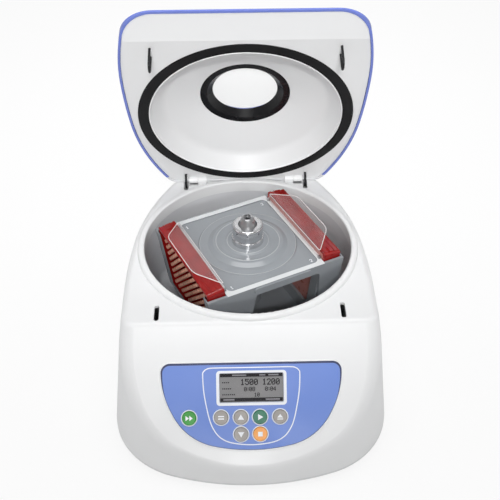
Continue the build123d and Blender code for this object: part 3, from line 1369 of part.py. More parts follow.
for side, word in zip(HINGE_SIDES, ("left", "right")):
    with BuildPart() as bolt:
        with BuildSketch(Plane.YZ.offset(span(side, BOLT_START, BOLT_START + BOLT_LENGTH))):
            with Locations((LOOP_Y, BOLT_Z)):
                Circle(BOLT_RADIUS)
        extrude(amount=BOLT_LENGTH)
        chamfer(bolt.edges().group_by(Axis.X)[0 if side > 0 else -1], BOLT_CHAMFER)
    save(bolt.part, f"latch_bolt_{word}")

# Panel: overlay, display window and module, keys, their switches and the board
with BuildPart() as panel_overlay:
    with BuildSketch(PANEL.offset(-PANEL_RECESS)):
        add(panel_outline())
        with Locations(*BUTTON_SPOTS):
            Circle(BUTTON_HOLE, mode=Mode.SUBTRACT)
        with Locations(DISPLAY_SPOT):
            RectangleRounded(
                DISPLAY_WIDTH + 2 * SKIN_GAP,
                DISPLAY_HEIGHT + 2 * SKIN_GAP,
                DISPLAY_CORNER,
                mode=Mode.SUBTRACT,
            )
    extrude(amount=OVERLAY)
save(panel_overlay.part, "panel_overlay")

with BuildPart() as display_window:
    with BuildSketch(PANEL.offset(-WALL)):
        with Locations(DISPLAY_SPOT):
            RectangleRounded(DISPLAY_WIDTH, DISPLAY_HEIGHT, DISPLAY_CORNER)
    extrude(amount=WALL - PANEL_RECESS + OVERLAY)
save(display_window.part, "display_window")

with BuildPart() as display_module:
    with BuildSketch(PANEL.offset(BOARD_FACE)):
        with Locations(DISPLAY_SPOT):
            Rectangle(DISPLAY_WIDTH + MODULE_BORDER, DISPLAY_HEIGHT + MODULE_BORDER)
    extrude(amount=BOARD_DEPTH - WALL - PRESS_GAP)
save(display_module.part, "display_module")

for name, spot in zip(BUTTONS, BUTTON_SPOTS):
    with BuildPart() as button:
        with BuildSketch(PANEL.offset(-WALL)):
            with Locations(spot):
                Circle(BUTTON_RADIUS)
        extrude(amount=WALL - PANEL_RECESS + OVERLAY + BUTTON_PROUD)
        circles = button.edges().filter_by(GeomType.CIRCLE)
        fillet(circles.sort_by(lambda e: PANEL.to_local_coords(e.center()).Z)[-1], BUTTON_ROUND)
        with BuildSketch(PANEL.offset(-WALL - PRESS_GAP)):
            with Locations(spot):
                Circle(BUTTON_RADIUS + BUTTON_COLLAR)
        extrude(amount=-BUTTON_COLLAR)
        with BuildSketch(PANEL.offset(-WALL)):
            with Locations(spot):
                Circle(2)
        extrude(amount=WALL - BOARD_DEPTH + SWITCH_TALL + BUTTON_TRAVEL + PRESS_GAP)
    save(button.part, name)

with BuildPart() as key_switches:
    with BuildSketch(PANEL.offset(BOARD_FACE)):
        with Locations(*BUTTON_SPOTS):
            Rectangle(SWITCH_SIDE, SWITCH_SIDE)
    extrude(amount=SWITCH_TALL)
save(key_switches.part, "key_switches")

with BuildPart() as control_board:
    with BuildSketch(PANEL.offset(BOARD_FACE - BOARD)):
        with Locations(BOARD_SPOT):
            RectangleRounded(BOARD_WIDTH, BOARD_HEIGHT, BOARD_CORNER)
            with GridLocations(POST_PITCH_X, POST_PITCH_Y, 2, 2):
                Circle(SMALL_SCREW + SKIN_GAP, mode=Mode.SUBTRACT)
    extrude(amount=BOARD)
save(control_board.part, "control_board")

with BuildPart() as board_screws:
    with BuildSketch(PANEL.offset(BOARD_FACE - BOARD)):
        with Locations(BOARD_SPOT):
            with GridLocations(POST_PITCH_X, POST_PITCH_Y, 2, 2):
                Circle(SMALL_SCREW)
    extrude(amount=BOARD + POST_BITE)
    with BuildSketch(PANEL.offset(BOARD_FACE - BOARD)):
        with Locations(BOARD_SPOT):
            with GridLocations(POST_PITCH_X, POST_PITCH_Y, 2, 2):
                Circle(SMALL_HEAD)
    extrude(amount=-BOARD)
save(board_screws.part, "board_screws")

# Main board at the back, with its parts
with BuildPart() as main_board:
    with BuildSketch(Plane.XY.offset(MAIN_BOARD_Z)):
        with Locations(MAIN_SPOT):
            RectangleRounded(MAIN_WIDTH, MAIN_LENGTH, BOARD_CORNER)
    extrude(amount=BOARD)
save(main_board.part, "main_board")

MAIN_TOP = MAIN_BOARD_Z + BOARD
with BuildPart() as board_parts:
    with BuildSketch(Plane.XY.offset(MAIN_TOP)):
        with Locations((MAIN_SPOT[0] + PART_XS[0], MAIN_SPOT[1])):
            Rectangle(TRANSFORMER[0], TRANSFORMER[1])
    extrude(amount=TRANSFORMER[2])
    with BuildSketch(Plane.XY.offset(MAIN_TOP)):
        with Locations((MAIN_SPOT[0] + PART_XS[1], MAIN_SPOT[1])):
            with GridLocations(CAN_PITCH, CAN_PITCH, 2, 2):
                Circle(CAN_RADIUS)
    extrude(amount=CAN_PITCH)
    with BuildSketch(Plane.XY.offset(MAIN_TOP)):
        with Locations((MAIN_SPOT[0] + PART_XS[2], MAIN_SPOT[1])):
            Rectangle(HEADER[0], HEADER[1])
    extrude(amount=HEADER[2])
save(board_parts.part, "board_parts")

with BuildPart() as heat_sink:
    with BuildSketch(Plane.XY.offset(MAIN_TOP)):
        with Locations((MAIN_SPOT[0] - SINK_SHIFT, MAIN_SPOT[1])):
            Rectangle(SINK_WIDTH, SINK_LENGTH)
    extrude(amount=SINK_BASE)
    with BuildSketch(Plane.XY.offset(MAIN_TOP + SINK_BASE)):
        with Locations((MAIN_SPOT[0] - SINK_SHIFT, MAIN_SPOT[1])):
            with GridLocations(FIN_PITCH, 1, FIN_COUNT, 1):
                Rectangle(FIN, SINK_LENGTH)
    extrude(amount=FIN_HEIGHT)
save(heat_sink.part, "heat_sink")

# Back wall: a low voltage inlet and a rocker switch
with BuildPart() as power_inlet:
    with BuildSketch(REAR.offset(-WALL - SOCKET_DEPTH)):
        with Locations((-INLET_X, INLET_Z)):
            Rectangle(2 * INLET_RADIUS + 3, 2 * INLET_RADIUS + 1)
    extrude(amount=SOCKET_DEPTH - PRESS_GAP)
    with BuildSketch(REAR.offset(-WALL - 1)):
        with Locations((-INLET_X, INLET_Z)):
            Circle(INLET_RADIUS)
    extrude(amount=WALL + 2)
    with BuildSketch(REAR.offset(-INLET_DEPTH)):
        with Locations((-INLET_X, INLET_Z)):
            Circle(INLET_BORE)
            Circle(1, mode=Mode.SUBTRACT)
    extrude(amount=INLET_DEPTH + 1, mode=Mode.SUBTRACT)
save(power_inlet.part, "power_inlet")

with BuildPart() as switch_frame:
    with BuildSketch(REAR.offset(-WALL - SOCKET_DEPTH - 2)):
        with Locations((-SWITCH_X, INLET_Z)):
            Rectangle(SWITCH_WIDTH, SWITCH_HEIGHT)
    extrude(amount=WALL + SOCKET_DEPTH + 2)
    with BuildSketch(REAR):
        with Locations((-SWITCH_X, INLET_Z)):
            RectangleRounded(SWITCH_WIDTH + 2 * SWITCH_RIM, SWITCH_HEIGHT + 2 * SWITCH_RIM, STRIP_CORNER)
    extrude(amount=SWITCH_RIM)
    with BuildSketch(REAR.offset(-ROCKER_DEPTH)):
        with Locations((-SWITCH_X, INLET_Z)):
            Rectangle(SWITCH_WIDTH - 2 * SWITCH_WALL, SWITCH_HEIGHT - 2 * SWITCH_WALL)
    extrude(amount=ROCKER_DEPTH + 2, mode=Mode.SUBTRACT)
save(switch_frame.part, "switch_frame")

with BuildPart() as power_rocker:
    with BuildSketch(Plane.XY.offset(INLET_Z - ROCKER_TALL / 2)):
        with Locations(Location((SWITCH_X, HOUSING_BACK - ROCKER_PIVOT), ROCKER_TILT)):
            Polygon(
                (-ROCKER_HALF, -ROCKER_EDGE),
                (ROCKER_HALF, -ROCKER_EDGE),
                (ROCKER_HALF, ROCKER_PIVOT + ROCKER_PROUD),
                (0, ROCKER_PIVOT + ROCKER_PROUD / 2),
                (-ROCKER_HALF, ROCKER_PIVOT + ROCKER_PROUD),
                align=None,
            )
        with Locations((SWITCH_X, HOUSING_BACK - ROCKER_PIVOT)):
            Circle(ROCKER_BARREL)
    extrude(amount=ROCKER_TALL)
save(power_rocker.part, "power_rocker")
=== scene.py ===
from math import cos, pi, radians, sin, sqrt

import bmesh
import bpy
from mathutils import Matrix, Vector


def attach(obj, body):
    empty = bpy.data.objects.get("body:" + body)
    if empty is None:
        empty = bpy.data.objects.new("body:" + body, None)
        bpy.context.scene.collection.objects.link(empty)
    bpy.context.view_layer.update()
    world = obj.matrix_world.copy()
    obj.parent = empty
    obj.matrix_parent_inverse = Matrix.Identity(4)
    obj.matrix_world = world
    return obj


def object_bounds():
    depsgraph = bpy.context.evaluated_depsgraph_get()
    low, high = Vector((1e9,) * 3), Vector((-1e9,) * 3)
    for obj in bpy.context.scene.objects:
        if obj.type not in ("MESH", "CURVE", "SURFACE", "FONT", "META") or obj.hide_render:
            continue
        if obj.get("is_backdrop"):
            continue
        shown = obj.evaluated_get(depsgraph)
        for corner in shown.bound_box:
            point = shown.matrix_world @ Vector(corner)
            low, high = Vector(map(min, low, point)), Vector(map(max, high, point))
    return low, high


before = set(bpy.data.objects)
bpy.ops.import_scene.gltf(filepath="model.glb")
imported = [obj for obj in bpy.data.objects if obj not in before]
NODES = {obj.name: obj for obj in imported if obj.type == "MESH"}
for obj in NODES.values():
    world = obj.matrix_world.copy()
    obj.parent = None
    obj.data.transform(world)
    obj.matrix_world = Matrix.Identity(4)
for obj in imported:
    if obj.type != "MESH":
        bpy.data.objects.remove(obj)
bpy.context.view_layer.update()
MM = 0.001
PLASTIC_INDEX = 1.49
GRAIN_RELIEF = 0.0004
BRUSH_SCALE = 1800.0
BRUSH_DEPTH = 0.04
BRUSH_RELIEF = 0.0003


# Materials
def new_material(name):
    mat = bpy.data.materials.new(name)
    mat.use_nodes = True
    tree = mat.node_tree
    shader = tree.nodes["Principled BSDF"]
    return mat, tree, shader


def coords(tree):
    return tree.nodes.new("ShaderNodeTexCoord").outputs["Object"]


def noise(tree, place, scale, detail=3.0):
    node = tree.nodes.new("ShaderNodeTexNoise")
    node.inputs["Scale"].default_value = scale
    node.inputs["Detail"].default_value = detail
    tree.links.new(place, node.inputs["Vector"])
    return node.outputs["Fac"]


def spread(tree, value, low, high, start=0.3, end=0.7):
    """The value's range from start to end, stretched to low and high."""
    node = tree.nodes.new("ShaderNodeMapRange")
    node.inputs["From Min"].default_value = start
    node.inputs["From Max"].default_value = end
    node.inputs["To Min"].default_value = low
    node.inputs["To Max"].default_value = high
    tree.links.new(value, node.inputs["Value"])
    return node.outputs["Result"]


def blend_colours(tree, factor, first, second):
    """A mix of two colours, each a colour or a socket. The node's colour sockets are 6, 7 and 2."""
    node = tree.nodes.new("ShaderNodeMix")
    node.data_type = "RGBA"
    for socket, value in ((node.inputs[6], first), (node.inputs[7], second)):
        if hasattr(value, "is_linked"):
            tree.links.new(value, socket)
        else:
            socket.default_value = (*value, 1.0)
    tree.links.new(factor, node.inputs[0])
    return node.outputs[2]


def bump(tree, height, strength, distance, shader):
    node = tree.nodes.new("ShaderNodeBump")
    node.inputs["Strength"].default_value = strength
    node.inputs["Distance"].default_value = distance
    tree.links.new(height, node.inputs["Height"])
    tree.links.new(node.outputs["Normal"], shader.inputs["Normal"])


def tone(colour, amount):
    return tuple(min(1.0, max(0.0, c * amount)) for c in colour)


def surface(
    name, colour, rough, metal=0.0, vary=0.03, patch=18.0, grain=900.0, depth=0.02,
    rough_vary=0.05, specular=0.5, coat=0.0, clear=0.0, alpha=1.0,
):
    """A moulded, painted or machined surface: mottled tone, uneven gloss and a fine grain."""
    mat, tree, shader = new_material(name)
    place = coords(tree)
    tint = blend_colours(
        tree, spread(tree, noise(tree, place, patch), 0.0, 1.0),
        tone(colour, 1.0 - vary), tone(colour, 1.0 + vary),
    )
    tree.links.new(tint, shader.inputs["Base Color"])
    uneven = spread(tree, noise(tree, place, patch * 3.0), rough - rough_vary, rough + rough_vary)
    tree.links.new(uneven, shader.inputs["Roughness"])
    shader.inputs["Metallic"].default_value = metal
    shader.inputs["Specular IOR Level"].default_value = specular
    shader.inputs["Coat Weight"].default_value = coat
    shader.inputs["Transmission Weight"].default_value = clear
    shader.inputs["IOR"].default_value = PLASTIC_INDEX
    shader.inputs["Alpha"].default_value = alpha
    if depth:
        bump(tree, noise(tree, place, grain, detail=2.0), depth, GRAIN_RELIEF, shader)
    return mat


def brushed(name, colour, rough):
    """Turned or rubbed metal with fine lines round the upright axis."""
    mat, tree, shader = new_material(name)
    place = coords(tree)
    sep = tree.nodes.new("ShaderNodeSeparateXYZ")
    tree.links.new(place, sep.inputs[0])
    flat = tree.nodes.new("ShaderNodeVectorMath")
    flat.operation = "MULTIPLY"
    flat.inputs[1].default_value = (1.0, 1.0, 0.0)
    tree.links.new(place, flat.inputs[0])
    length = tree.nodes.new("ShaderNodeVectorMath")
    length.operation = "LENGTH"
    tree.links.new(flat.outputs[0], length.inputs[0])
    join = tree.nodes.new("ShaderNodeCombineXYZ")
    tree.links.new(length.outputs["Value"], join.inputs[0])
    tree.links.new(sep.outputs[2], join.inputs[1])
    lines = noise(tree, join.outputs[0], BRUSH_SCALE, detail=4.0)
    tint = blend_colours(tree, lines, tone(colour, 0.86), tone(colour, 1.1))
    tree.links.new(tint, shader.inputs["Base Color"])
    tree.links.new(spread(tree, lines, rough - 0.05, rough + 0.08), shader.inputs["Roughness"])
    shader.inputs["Metallic"].default_value = 1.0
    bump(tree, lines, BRUSH_DEPTH, BRUSH_RELIEF, shader)
    return mat


def two_tone(mat, other, low, high):
    """The other colour below the low height, and the surface's own above the high one, in metres."""
    tree = mat.node_tree
    shader = tree.nodes["Principled BSDF"]
    first = shader.inputs["Base Color"].links[0].from_socket
    sep = tree.nodes.new("ShaderNodeSeparateXYZ")
    tree.links.new(coords(tree), sep.inputs[0])
    height = spread(tree, sep.outputs[2], 0.0, 1.0, low, high)
    tree.links.new(blend_colours(tree, height, other, first), shader.inputs["Base Color"])


WHITE = (0.83, 0.835, 0.84)
M = {
    "case": surface(
        "case_white", WHITE, 0.34, vary=0.012, patch=9.0, grain=1400.0, depth=0.03, coat=0.08,
    ),
    "tray": surface("tray_white", (0.72, 0.725, 0.73), 0.5, vary=0.03, grain=1100.0, depth=0.06),
    "lid_inner": surface(
        "lid_white", (0.80, 0.805, 0.81), 0.36, vary=0.012, patch=9.0, grain=1400.0, depth=0.03,
    ),
    "lid": surface(
        "lid_blue", (0.150, 0.205, 0.60), 0.24,
        vary=0.015, patch=8.0, grain=1300.0, depth=0.03, rough_vary=0.012, coat=0.3,
    ),
    "bowl": surface(
        "bowl_grey", (0.70, 0.705, 0.725), 0.33, vary=0.04, patch=14.0, grain=1200.0, depth=0.04,
    ),
    "rubber": surface(
        "black_rubber", (0.008, 0.008, 0.009), 0.55, vary=0.25, grain=1600.0, depth=0.12, specular=0.2,
    ),
    "black": surface(
        "black_plastic", (0.006, 0.006, 0.007), 0.26, vary=0.2, grain=1200.0, depth=0.05, specular=0.35,
    ),
    "pane": surface(
        "clear_pane", (0.90, 0.92, 0.93), 0.04,
        vary=0.01, rough_vary=0.015, grain=60.0, depth=0.004, alpha=0.14,
    ),
    "flap": surface(
        "clear_flap", (0.74, 0.64, 0.64), 0.06,
        vary=0.02, rough_vary=0.01, grain=90.0, depth=0.01, specular=0.8, alpha=0.07,
    ),
    "glass": surface(
        "display_glass", (0.05, 0.055, 0.055), 0.08,
        vary=0.02, rough_vary=0.02, grain=80.0, depth=0.006, alpha=0.07,
    ),
    "wire": surface(
        "black_wire", (0.02, 0.02, 0.022), 0.28, metal=0.6, vary=0.2, patch=60.0, depth=0.05,
    ),
    "rotor": surface(
        "rotor_grey", (0.30, 0.32, 0.34), 0.22,
        vary=0.02, patch=24.0, grain=2200.0, depth=0.03, rough_vary=0.02, coat=0.25,
    ),
    "red": surface(
        "plate_red", (0.34, 0.008, 0.007), 0.16,
        vary=0.2, patch=40.0, grain=700.0, depth=0.03, clear=0.12, coat=0.25,
    ),
    "film": surface(
        "plate_film", (0.50, 0.20, 0.17), 0.3, vary=0.08, patch=60.0, grain=300.0, depth=0.08,
    ),
    "chrome": brushed("steel_bright", (0.72, 0.72, 0.73), 0.14),
    "screw": surface(
        "steel_screws", (0.48, 0.48, 0.49), 0.3, metal=1.0, vary=0.12, patch=120.0, grain=2400.0, depth=0.1,
    ),
    "alu": brushed("aluminium_parts", (0.62, 0.62, 0.63), 0.32),
    "motor": surface(
        "motor_steel", (0.07, 0.073, 0.078), 0.42, metal=0.7, vary=0.15, grain=1500.0, depth=0.12,
    ),
    "magnet": surface(
        "magnet_dark", (0.03, 0.03, 0.032), 0.5, metal=0.4, vary=0.2, grain=1800.0, depth=0.15,
    ),
    "panel": surface(
        "panel_blue", (0.125, 0.235, 0.66), 0.36, vary=0.03, patch=8.0, grain=1800.0, depth=0.05,
    ),
    "display": surface(
        "display_grey", (0.30, 0.295, 0.30), 0.4, vary=0.05, patch=30.0, grain=2600.0, depth=0.04,
    ),
    "board": surface(
        "board_green", (0.012, 0.10, 0.045), 0.34, vary=0.25, patch=70.0, grain=900.0, depth=0.1,
    ),
    "part": surface(
        "part_black", (0.016, 0.016, 0.018), 0.45, vary=0.3, patch=90.0, grain=1500.0, depth=0.12,
    ),
    "green": surface(
        "key_green", (0.006, 0.30, 0.010), 0.34, vary=0.08, patch=90.0, grain=2000.0, depth=0.06,
    ),
    "teal": surface(
        "key_teal", (0.004, 0.165, 0.085), 0.34, vary=0.08, patch=90.0, grain=2000.0, depth=0.06,
    ),
    "orange": surface(
        "key_orange", (0.92, 0.36, 0.055), 0.34, vary=0.06, patch=90.0, grain=2000.0, depth=0.06,
    ),
    "grey": surface(
        "key_grey", (0.33, 0.305, 0.285), 0.34, vary=0.06, patch=90.0, grain=2000.0, depth=0.06,
    ),
    # Peach on the wells' rounded ends, a painted highlight; the wells' sides keep the plate's red.
    "tips": surface(
        "well_tip_highlight", (0.62, 0.30, 0.21), 0.34, vary=0.22, patch=160.0, grain=900.0, depth=0.04, coat=0.2,
    ),
    # Pale pinkish white for thin tubes on the clear flaps' edges, a painted highlight.
    "edge": surface(
        "flap_edge_highlight", (0.86, 0.84, 0.84), 0.2, vary=0.04, patch=80.0, grain=400.0, depth=0.03, coat=0.4,
    ),
    "border": surface(
        "rotor_border", (0.74, 0.76, 0.77), 0.2, vary=0.04, patch=30.0, grain=2200.0, depth=0.03, coat=0.25,
    ),
    # Grey lighter than the rotor's: on the crown rings the shape and gloss are real, and the lighter tone
    # is a painted highlight.
    "gloss": surface(
        "crown_painted_highlight", (0.42, 0.44, 0.46), 0.16, vary=0.04, patch=30.0, grain=2200.0, depth=0.02, coat=0.8,
    ),
    # A lighter copy of the case and lid white: a painted highlight on the panel bead and the dish's rim.
    "lit_lip": surface(
        "lip_painted_highlight", (0.93, 0.935, 0.94), 0.3, vary=0.01, patch=9.0, grain=1400.0, depth=0.03, coat=0.2,
    ),
    # Dark navy for a painted shadow: the panel recess's upper wall shading the overlay's edge.
    "recess_shadow": surface(
        "panel_painted_shadow", (0.012, 0.020, 0.10), 0.4, vary=0.1, patch=30.0, grain=1800.0, depth=0.04,
    ),
    "pale": surface(
        "display_pale", (0.30, 0.29, 0.31), 0.45, vary=0.05, patch=60.0, grain=2400.0, depth=0.03,
    ),
    "print": surface(
        "white_print", (0.86, 0.88, 0.92), 0.4, vary=0.02, patch=60.0, grain=2400.0, depth=0.05,
    ),
    "ink": surface(
        "display_ink", (0.006, 0.003, 0.008), 0.6, vary=0.2, patch=150.0, grain=2400.0, depth=0.03,
    ),
}
LID_EDGE_HEIGHT = (0.1490, 0.1500)
two_tone(M["lid"], (0.74, 0.745, 0.76), *LID_EDGE_HEIGHT)

DRESS = {
    "case": "top_cover lid_knuckles hinge_blocks",
    "tray": "base_tray",
    "lid": "lid_outer",
    "lid_inner": "lid_inner",
    "bowl": "bowl_liner",
    "rubber": "rubber_feet lid_gasket shaft_seal motor_dampers",
    "black": "window_ring power_inlet switch_frame power_rocker",
    "pane": "window_pane",
    "flap": "flap_left flap_right",
    "glass": "display_window",
    "chrome": "rotor_knob spindle_shaft shaft_bearings latch_bolt_left latch_bolt_right hinge_pins",
    "screw": (
        "liner_screws foot_screws cover_screws damper_screws board_screws "
        "knob_screw flap_clips latch_brackets"
    ),
    "wire": "latch_loops lid_stays",
    "rotor": "rotor_frame",
    "red": "well_plate_left well_plate_right",
    "film": "plate_seal_left plate_seal_right",
    "alu": "motor_plate bearing_tube heat_sink",
    "motor": "motor_bell stator_core latch_coils",
    "magnet": "magnet_ring",
    "panel": "panel_overlay",
    "display": "display_module",
    "board": "control_board main_board",
    "part": "key_switches board_parts",
    "green": "quick_button",
    "teal": "run_button",
    "orange": "stop_button",
    "grey": "select_button up_button down_button open_button",
}
for key, names in DRESS.items():
    for name in names.split():
        node = NODES[name]
        node.data.materials.clear()
        node.data.materials.append(M[key])


# Geometry helpers
def piece(name, solids, mat, body, smooth=False):
    """Makes one object of the gathered solids, in millimetres, and rides it on a body."""
    mesh = bpy.data.meshes.new(name)
    mesh.from_pydata([tuple(c * MM for c in v) for v in solids.verts], [], solids.faces)
    mesh.validate()
    tidy = bmesh.new()
    tidy.from_mesh(mesh)
    bmesh.ops.recalc_face_normals(tidy, faces=tidy.faces)
    tidy.to_mesh(mesh)
    tidy.free()
    for face in mesh.polygons:
        face.use_smooth = smooth
    obj = bpy.data.objects.new(name, mesh)
    bpy.context.scene.collection.objects.link(obj)
    mesh.materials.append(M[mat])
    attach(obj, body)


class Solids:
    """Gathers several closed solids into one mesh."""

    def __init__(self):
        self.verts = []
        self.faces = []

    def add(self, verts, faces):
        base = len(self.verts)
        self.verts += verts
        self.faces += [tuple(base + i for i in face) for face in faces]

    def slab(self, outline, place, low, high):
        """A flat outline, given a thickness along the plane's normal."""
        count = len(outline)
        verts = [place(x, y, low) for x, y in outline] + [place(x, y, high) for x, y in outline]
        faces = [tuple(reversed(range(count))), tuple(range(count, 2 * count))]
        faces += [(i, (i + 1) % count, count + (i + 1) % count, count + i) for i in range(count)]
        self.add(verts, faces)

    def band(self, outer, inner, place, low, high):
        """The flat band between two closed outlines with equal numbers of points."""
        count = len(outer)
        rings = [
            [place(x, y, low) for x, y in outer],
            [place(x, y, high) for x, y in outer],
            [place(x, y, high) for x, y in inner],
            [place(x, y, low) for x, y in inner],
        ]
        verts = [p for ring in rings for p in ring]
        faces = []
        for r in range(4):
            for i in range(count):
                j = (i + 1) % count
                s = (r + 1) % 4
                faces.append((r * count + i, r * count + j, s * count + j, s * count + i))
        self.add(verts, faces)

    def tube(self, points, radius, sides=8, closed=False):
        """A round rod along the points."""
        path = [Vector(p) for p in points]
        count = len(path)
        side = None
        verts = []
        for i, here in enumerate(path):
            before = path[i - 1] if closed or i else here
            after = path[(i + 1) % count] if closed or i + 1 < count else here
            run = (after - before).normalized()
            if side is None:
                side = run.orthogonal().normalized()
            side = (side - run * side.dot(run)).normalized()
            across = run.cross(side)
            for k in range(sides):
                turn = 2 * pi * k / sides
                verts.append(tuple(here + (side * cos(turn) + across * sin(turn)) * radius))
        faces = []
        for i in range(count if closed else count - 1):
            for k in range(sides):
                j, m = (i + 1) % count, (k + 1) % sides
                faces.append((i * sides + k, i * sides + m, j * sides + m, j * sides + k))
        if not closed:
            faces += [tuple(range(sides)), tuple(range((count - 1) * sides, count * sides))]
        self.add(verts, faces)

    def lathe(self, profile, place, count):
        """A closed section of (radius, height) points turned once round an axis."""
        rings = len(profile)
        verts = []
        for i in range(count):
            turn = 2 * pi * i / count
            verts += [place(r * cos(turn), r * sin(turn), h) for r, h in profile]
        faces = []
        for i in range(count):
            for k in range(rings):
                j, m = (i + 1) % count, (k + 1) % rings
                faces.append((i * rings + k, i * rings + m, j * rings + m, j * rings + k))
        self.add(verts, faces)


PANEL_ORIGIN = Vector((0.0, -146.4545, 109.1649))
PANEL_UP = Vector((0.0, 0.642788, 0.766044))
PANEL_OUT = Vector((0.0, -0.766044, 0.642788))


def on_panel(u, drop, lift):
    """Places on the sloped panel: across it, down it, and out from it."""
    return tuple(PANEL_ORIGIN + Vector((u, 0, 0)) - PANEL_UP * drop + PANEL_OUT * lift)


def circle(x, y, radius, count=48):
    turns = [2 * pi * i / count for i in range(count)]
    return [(x + radius * cos(t), y + radius * sin(t)) for t in turns]


def rounded(x0, y0, x1, y1, radius, steps=6):
    """An oblong with round corners."""
    points = []
    corners = (
        (x1 - radius, y1 - radius, 0), (x0 + radius, y1 - radius, 90),
        (x0 + radius, y0 + radius, 180), (x1 - radius, y0 + radius, 270),
    )
    for cx, cy, begin in corners:
        for i in range(steps + 1):
            a = radians(begin + 90.0 * i / steps)
            points.append((cx + radius * cos(a), cy + radius * sin(a)))
    return points


def smooth_loop(points, steps=8):
    """A closed curve through the points."""
    count = len(points)
    result = []
    for i in range(count):
        p = [points[(i + k - 1) % count] for k in range(4)]
        for s in range(steps):
            t = s / steps
            result.append(tuple(
                0.5 * (
                    2 * p[1][a] + (p[2][a] - p[0][a]) * t
                    + (2 * p[0][a] - 5 * p[1][a] + 4 * p[2][a] - p[3][a]) * t ** 2
                    + (3 * p[1][a] - p[0][a] - 3 * p[2][a] + p[3][a]) * t ** 3
                )
                for a in (0, 1)
            ))
    return result


def widened(points, amount):
    """A closed curve moved sideways."""
    count = len(points)
    result = []
    for i in range(count):
        (x, y), (ax, ay), (bx, by) = points[i], points[i - 1], points[(i + 1) % count]
        length = sqrt((bx - ax) ** 2 + (by - ay) ** 2) or 1.0
        result.append((x + amount * (by - ay) / length, y - amount * (bx - ax) / length))
    return result


# Control panel print
OVERLAY_TOP = -0.2
PRINT = 0.07
LINE_HALF = 0.55
KEY_RING_OUTER = 8.2
KEY_RING_INNER = 7.25
BUTTONS = {
    "quick": (-62.0, 54.0),
    "select": (-30.5, 54.0),
    "up": (-11.0, 54.0),
    "run": (8.0, 54.0),
    "open": (27.8, 54.0),
    "down": (-11.0, 70.8),
    "stop": (8.0, 70.8),
}
half_line = [
    (15, 5), (38, 5), (44, 6), (47.2, 8.6), (48, 12), (47.3, 27),
    (45, 42), (41.6, 57), (37.5, 66.5), (31, 74.2), (20, 79.2),
]
line = half_line + [(0, 81.3)] + [(-x, y) for x, y in reversed(half_line)]
curve = smooth_loop(line)
prints = Solids()
printed = (on_panel, OVERLAY_TOP, OVERLAY_TOP + PRINT)
prints.band(widened(curve, LINE_HALF), widened(curve, -LINE_HALF), *printed)
display_frame_outer = rounded(-34.8, 8.0, 34.8, 42.5, 3.4)
display_frame_inner = rounded(-31.9, 10.4, 31.9, 39.6, 1.6)
prints.band(display_frame_outer, display_frame_inner, *printed)
for x, drop in BUTTONS.values():
    prints.band(circle(x, drop, KEY_RING_OUTER), circle(x, drop, KEY_RING_INNER), *printed)
piece("panel_print", prints, "print", "housing")

KEY_TOP = 1.0
ICONS = {
    "quick": [[(-3.6, -2.6), (-3.6, 2.6), (-0.2, 0)], [(0.2, -2.6), (0.2, 2.6), (3.6, 0)]],
    "select": [
        [(-2.9, -0.6), (2.9, -0.6), (2.9, -1.8), (-2.9, -1.8)],
        [(-2.9, 1.8), (2.9, 1.8), (2.9, 0.6), (-2.9, 0.6)],
    ],
    "up": [[(-3.1, 2.3), (3.1, 2.3), (0, -3.0)]],
    "run": [[(-2.0, -3.0), (-2.0, 3.0), (3.2, 0)]],
    "open": [[(-2.9, 0.9), (2.9, 0.9), (0, -2.8)], [(-2.9, 1.8), (2.9, 1.8), (2.9, 2.8), (-2.9, 2.8)]],
    "down": [[(-3.1, -2.3), (3.1, -2.3), (0, 3.0)]],
    "stop": [[(-2.3, -2.3), (2.3, -2.3), (2.3, 2.3), (-2.3, 2.3)]],
}
for key, shapes in ICONS.items():
    x, drop = BUTTONS[key]
    icon = Solids()
    for shape in shapes:
        icon.slab([(x + a, drop + b) for a, b in shape], on_panel, KEY_TOP, KEY_TOP + PRINT)
    piece(f"{key}_icon", icon, "print", f"{key}_button_cap")

DIGITS = {
    "0": "01110 10001 10011 10101 11001 10001 01110",
    "1": "00100 01100 00100 00100 00100 00100 01110",
    "2": "01110 10001 00001 00010 00100 01000 11111",
    "4": "00010 00110 01010 10010 11111 00010 00010",
    "5": "11111 10000 11110 00001 00001 10001 01110",
    "8": "01110 10001 10001 01110 10001 10001 01110",
    ":": "000 010 010 000 010 010 000",
}
DOT_STEP = 0.86
DOT_SIZE = 1.22
DISPLAY_FACE = -3.1
INK = 0.05
TICK = 1.2
TICK_PITCH = 1.9
TICK_LEFT = -29.0
BAR_HALF = 31


def dots(solids, text, left, top, pitch, place, low, high):
    """Numbers in square dots, like those of a small display."""
    for sign in text:
        rows = DIGITS[sign].split()
        for r, row in enumerate(rows):
            for c, mark in enumerate(row):
                if mark == "1":
                    x = left + c * pitch * DOT_STEP
                    y = top + r * pitch
                    s = pitch * DOT_SIZE
                    solids.slab([(x, y), (x + s, y), (x + s, y + s), (x, y + s)], place, low, high)
        left += (len(rows[0]) + 1) * pitch * DOT_STEP


def bar(solids, left, top, right_end, bottom, lift):
    """A flat oblong on the display, at a height over its face."""
    corners = [(left, top), (right_end, top), (right_end, bottom), (left, bottom)]
    solids.slab(corners, on_panel, DISPLAY_FACE + lift, DISPLAY_FACE + lift + INK)


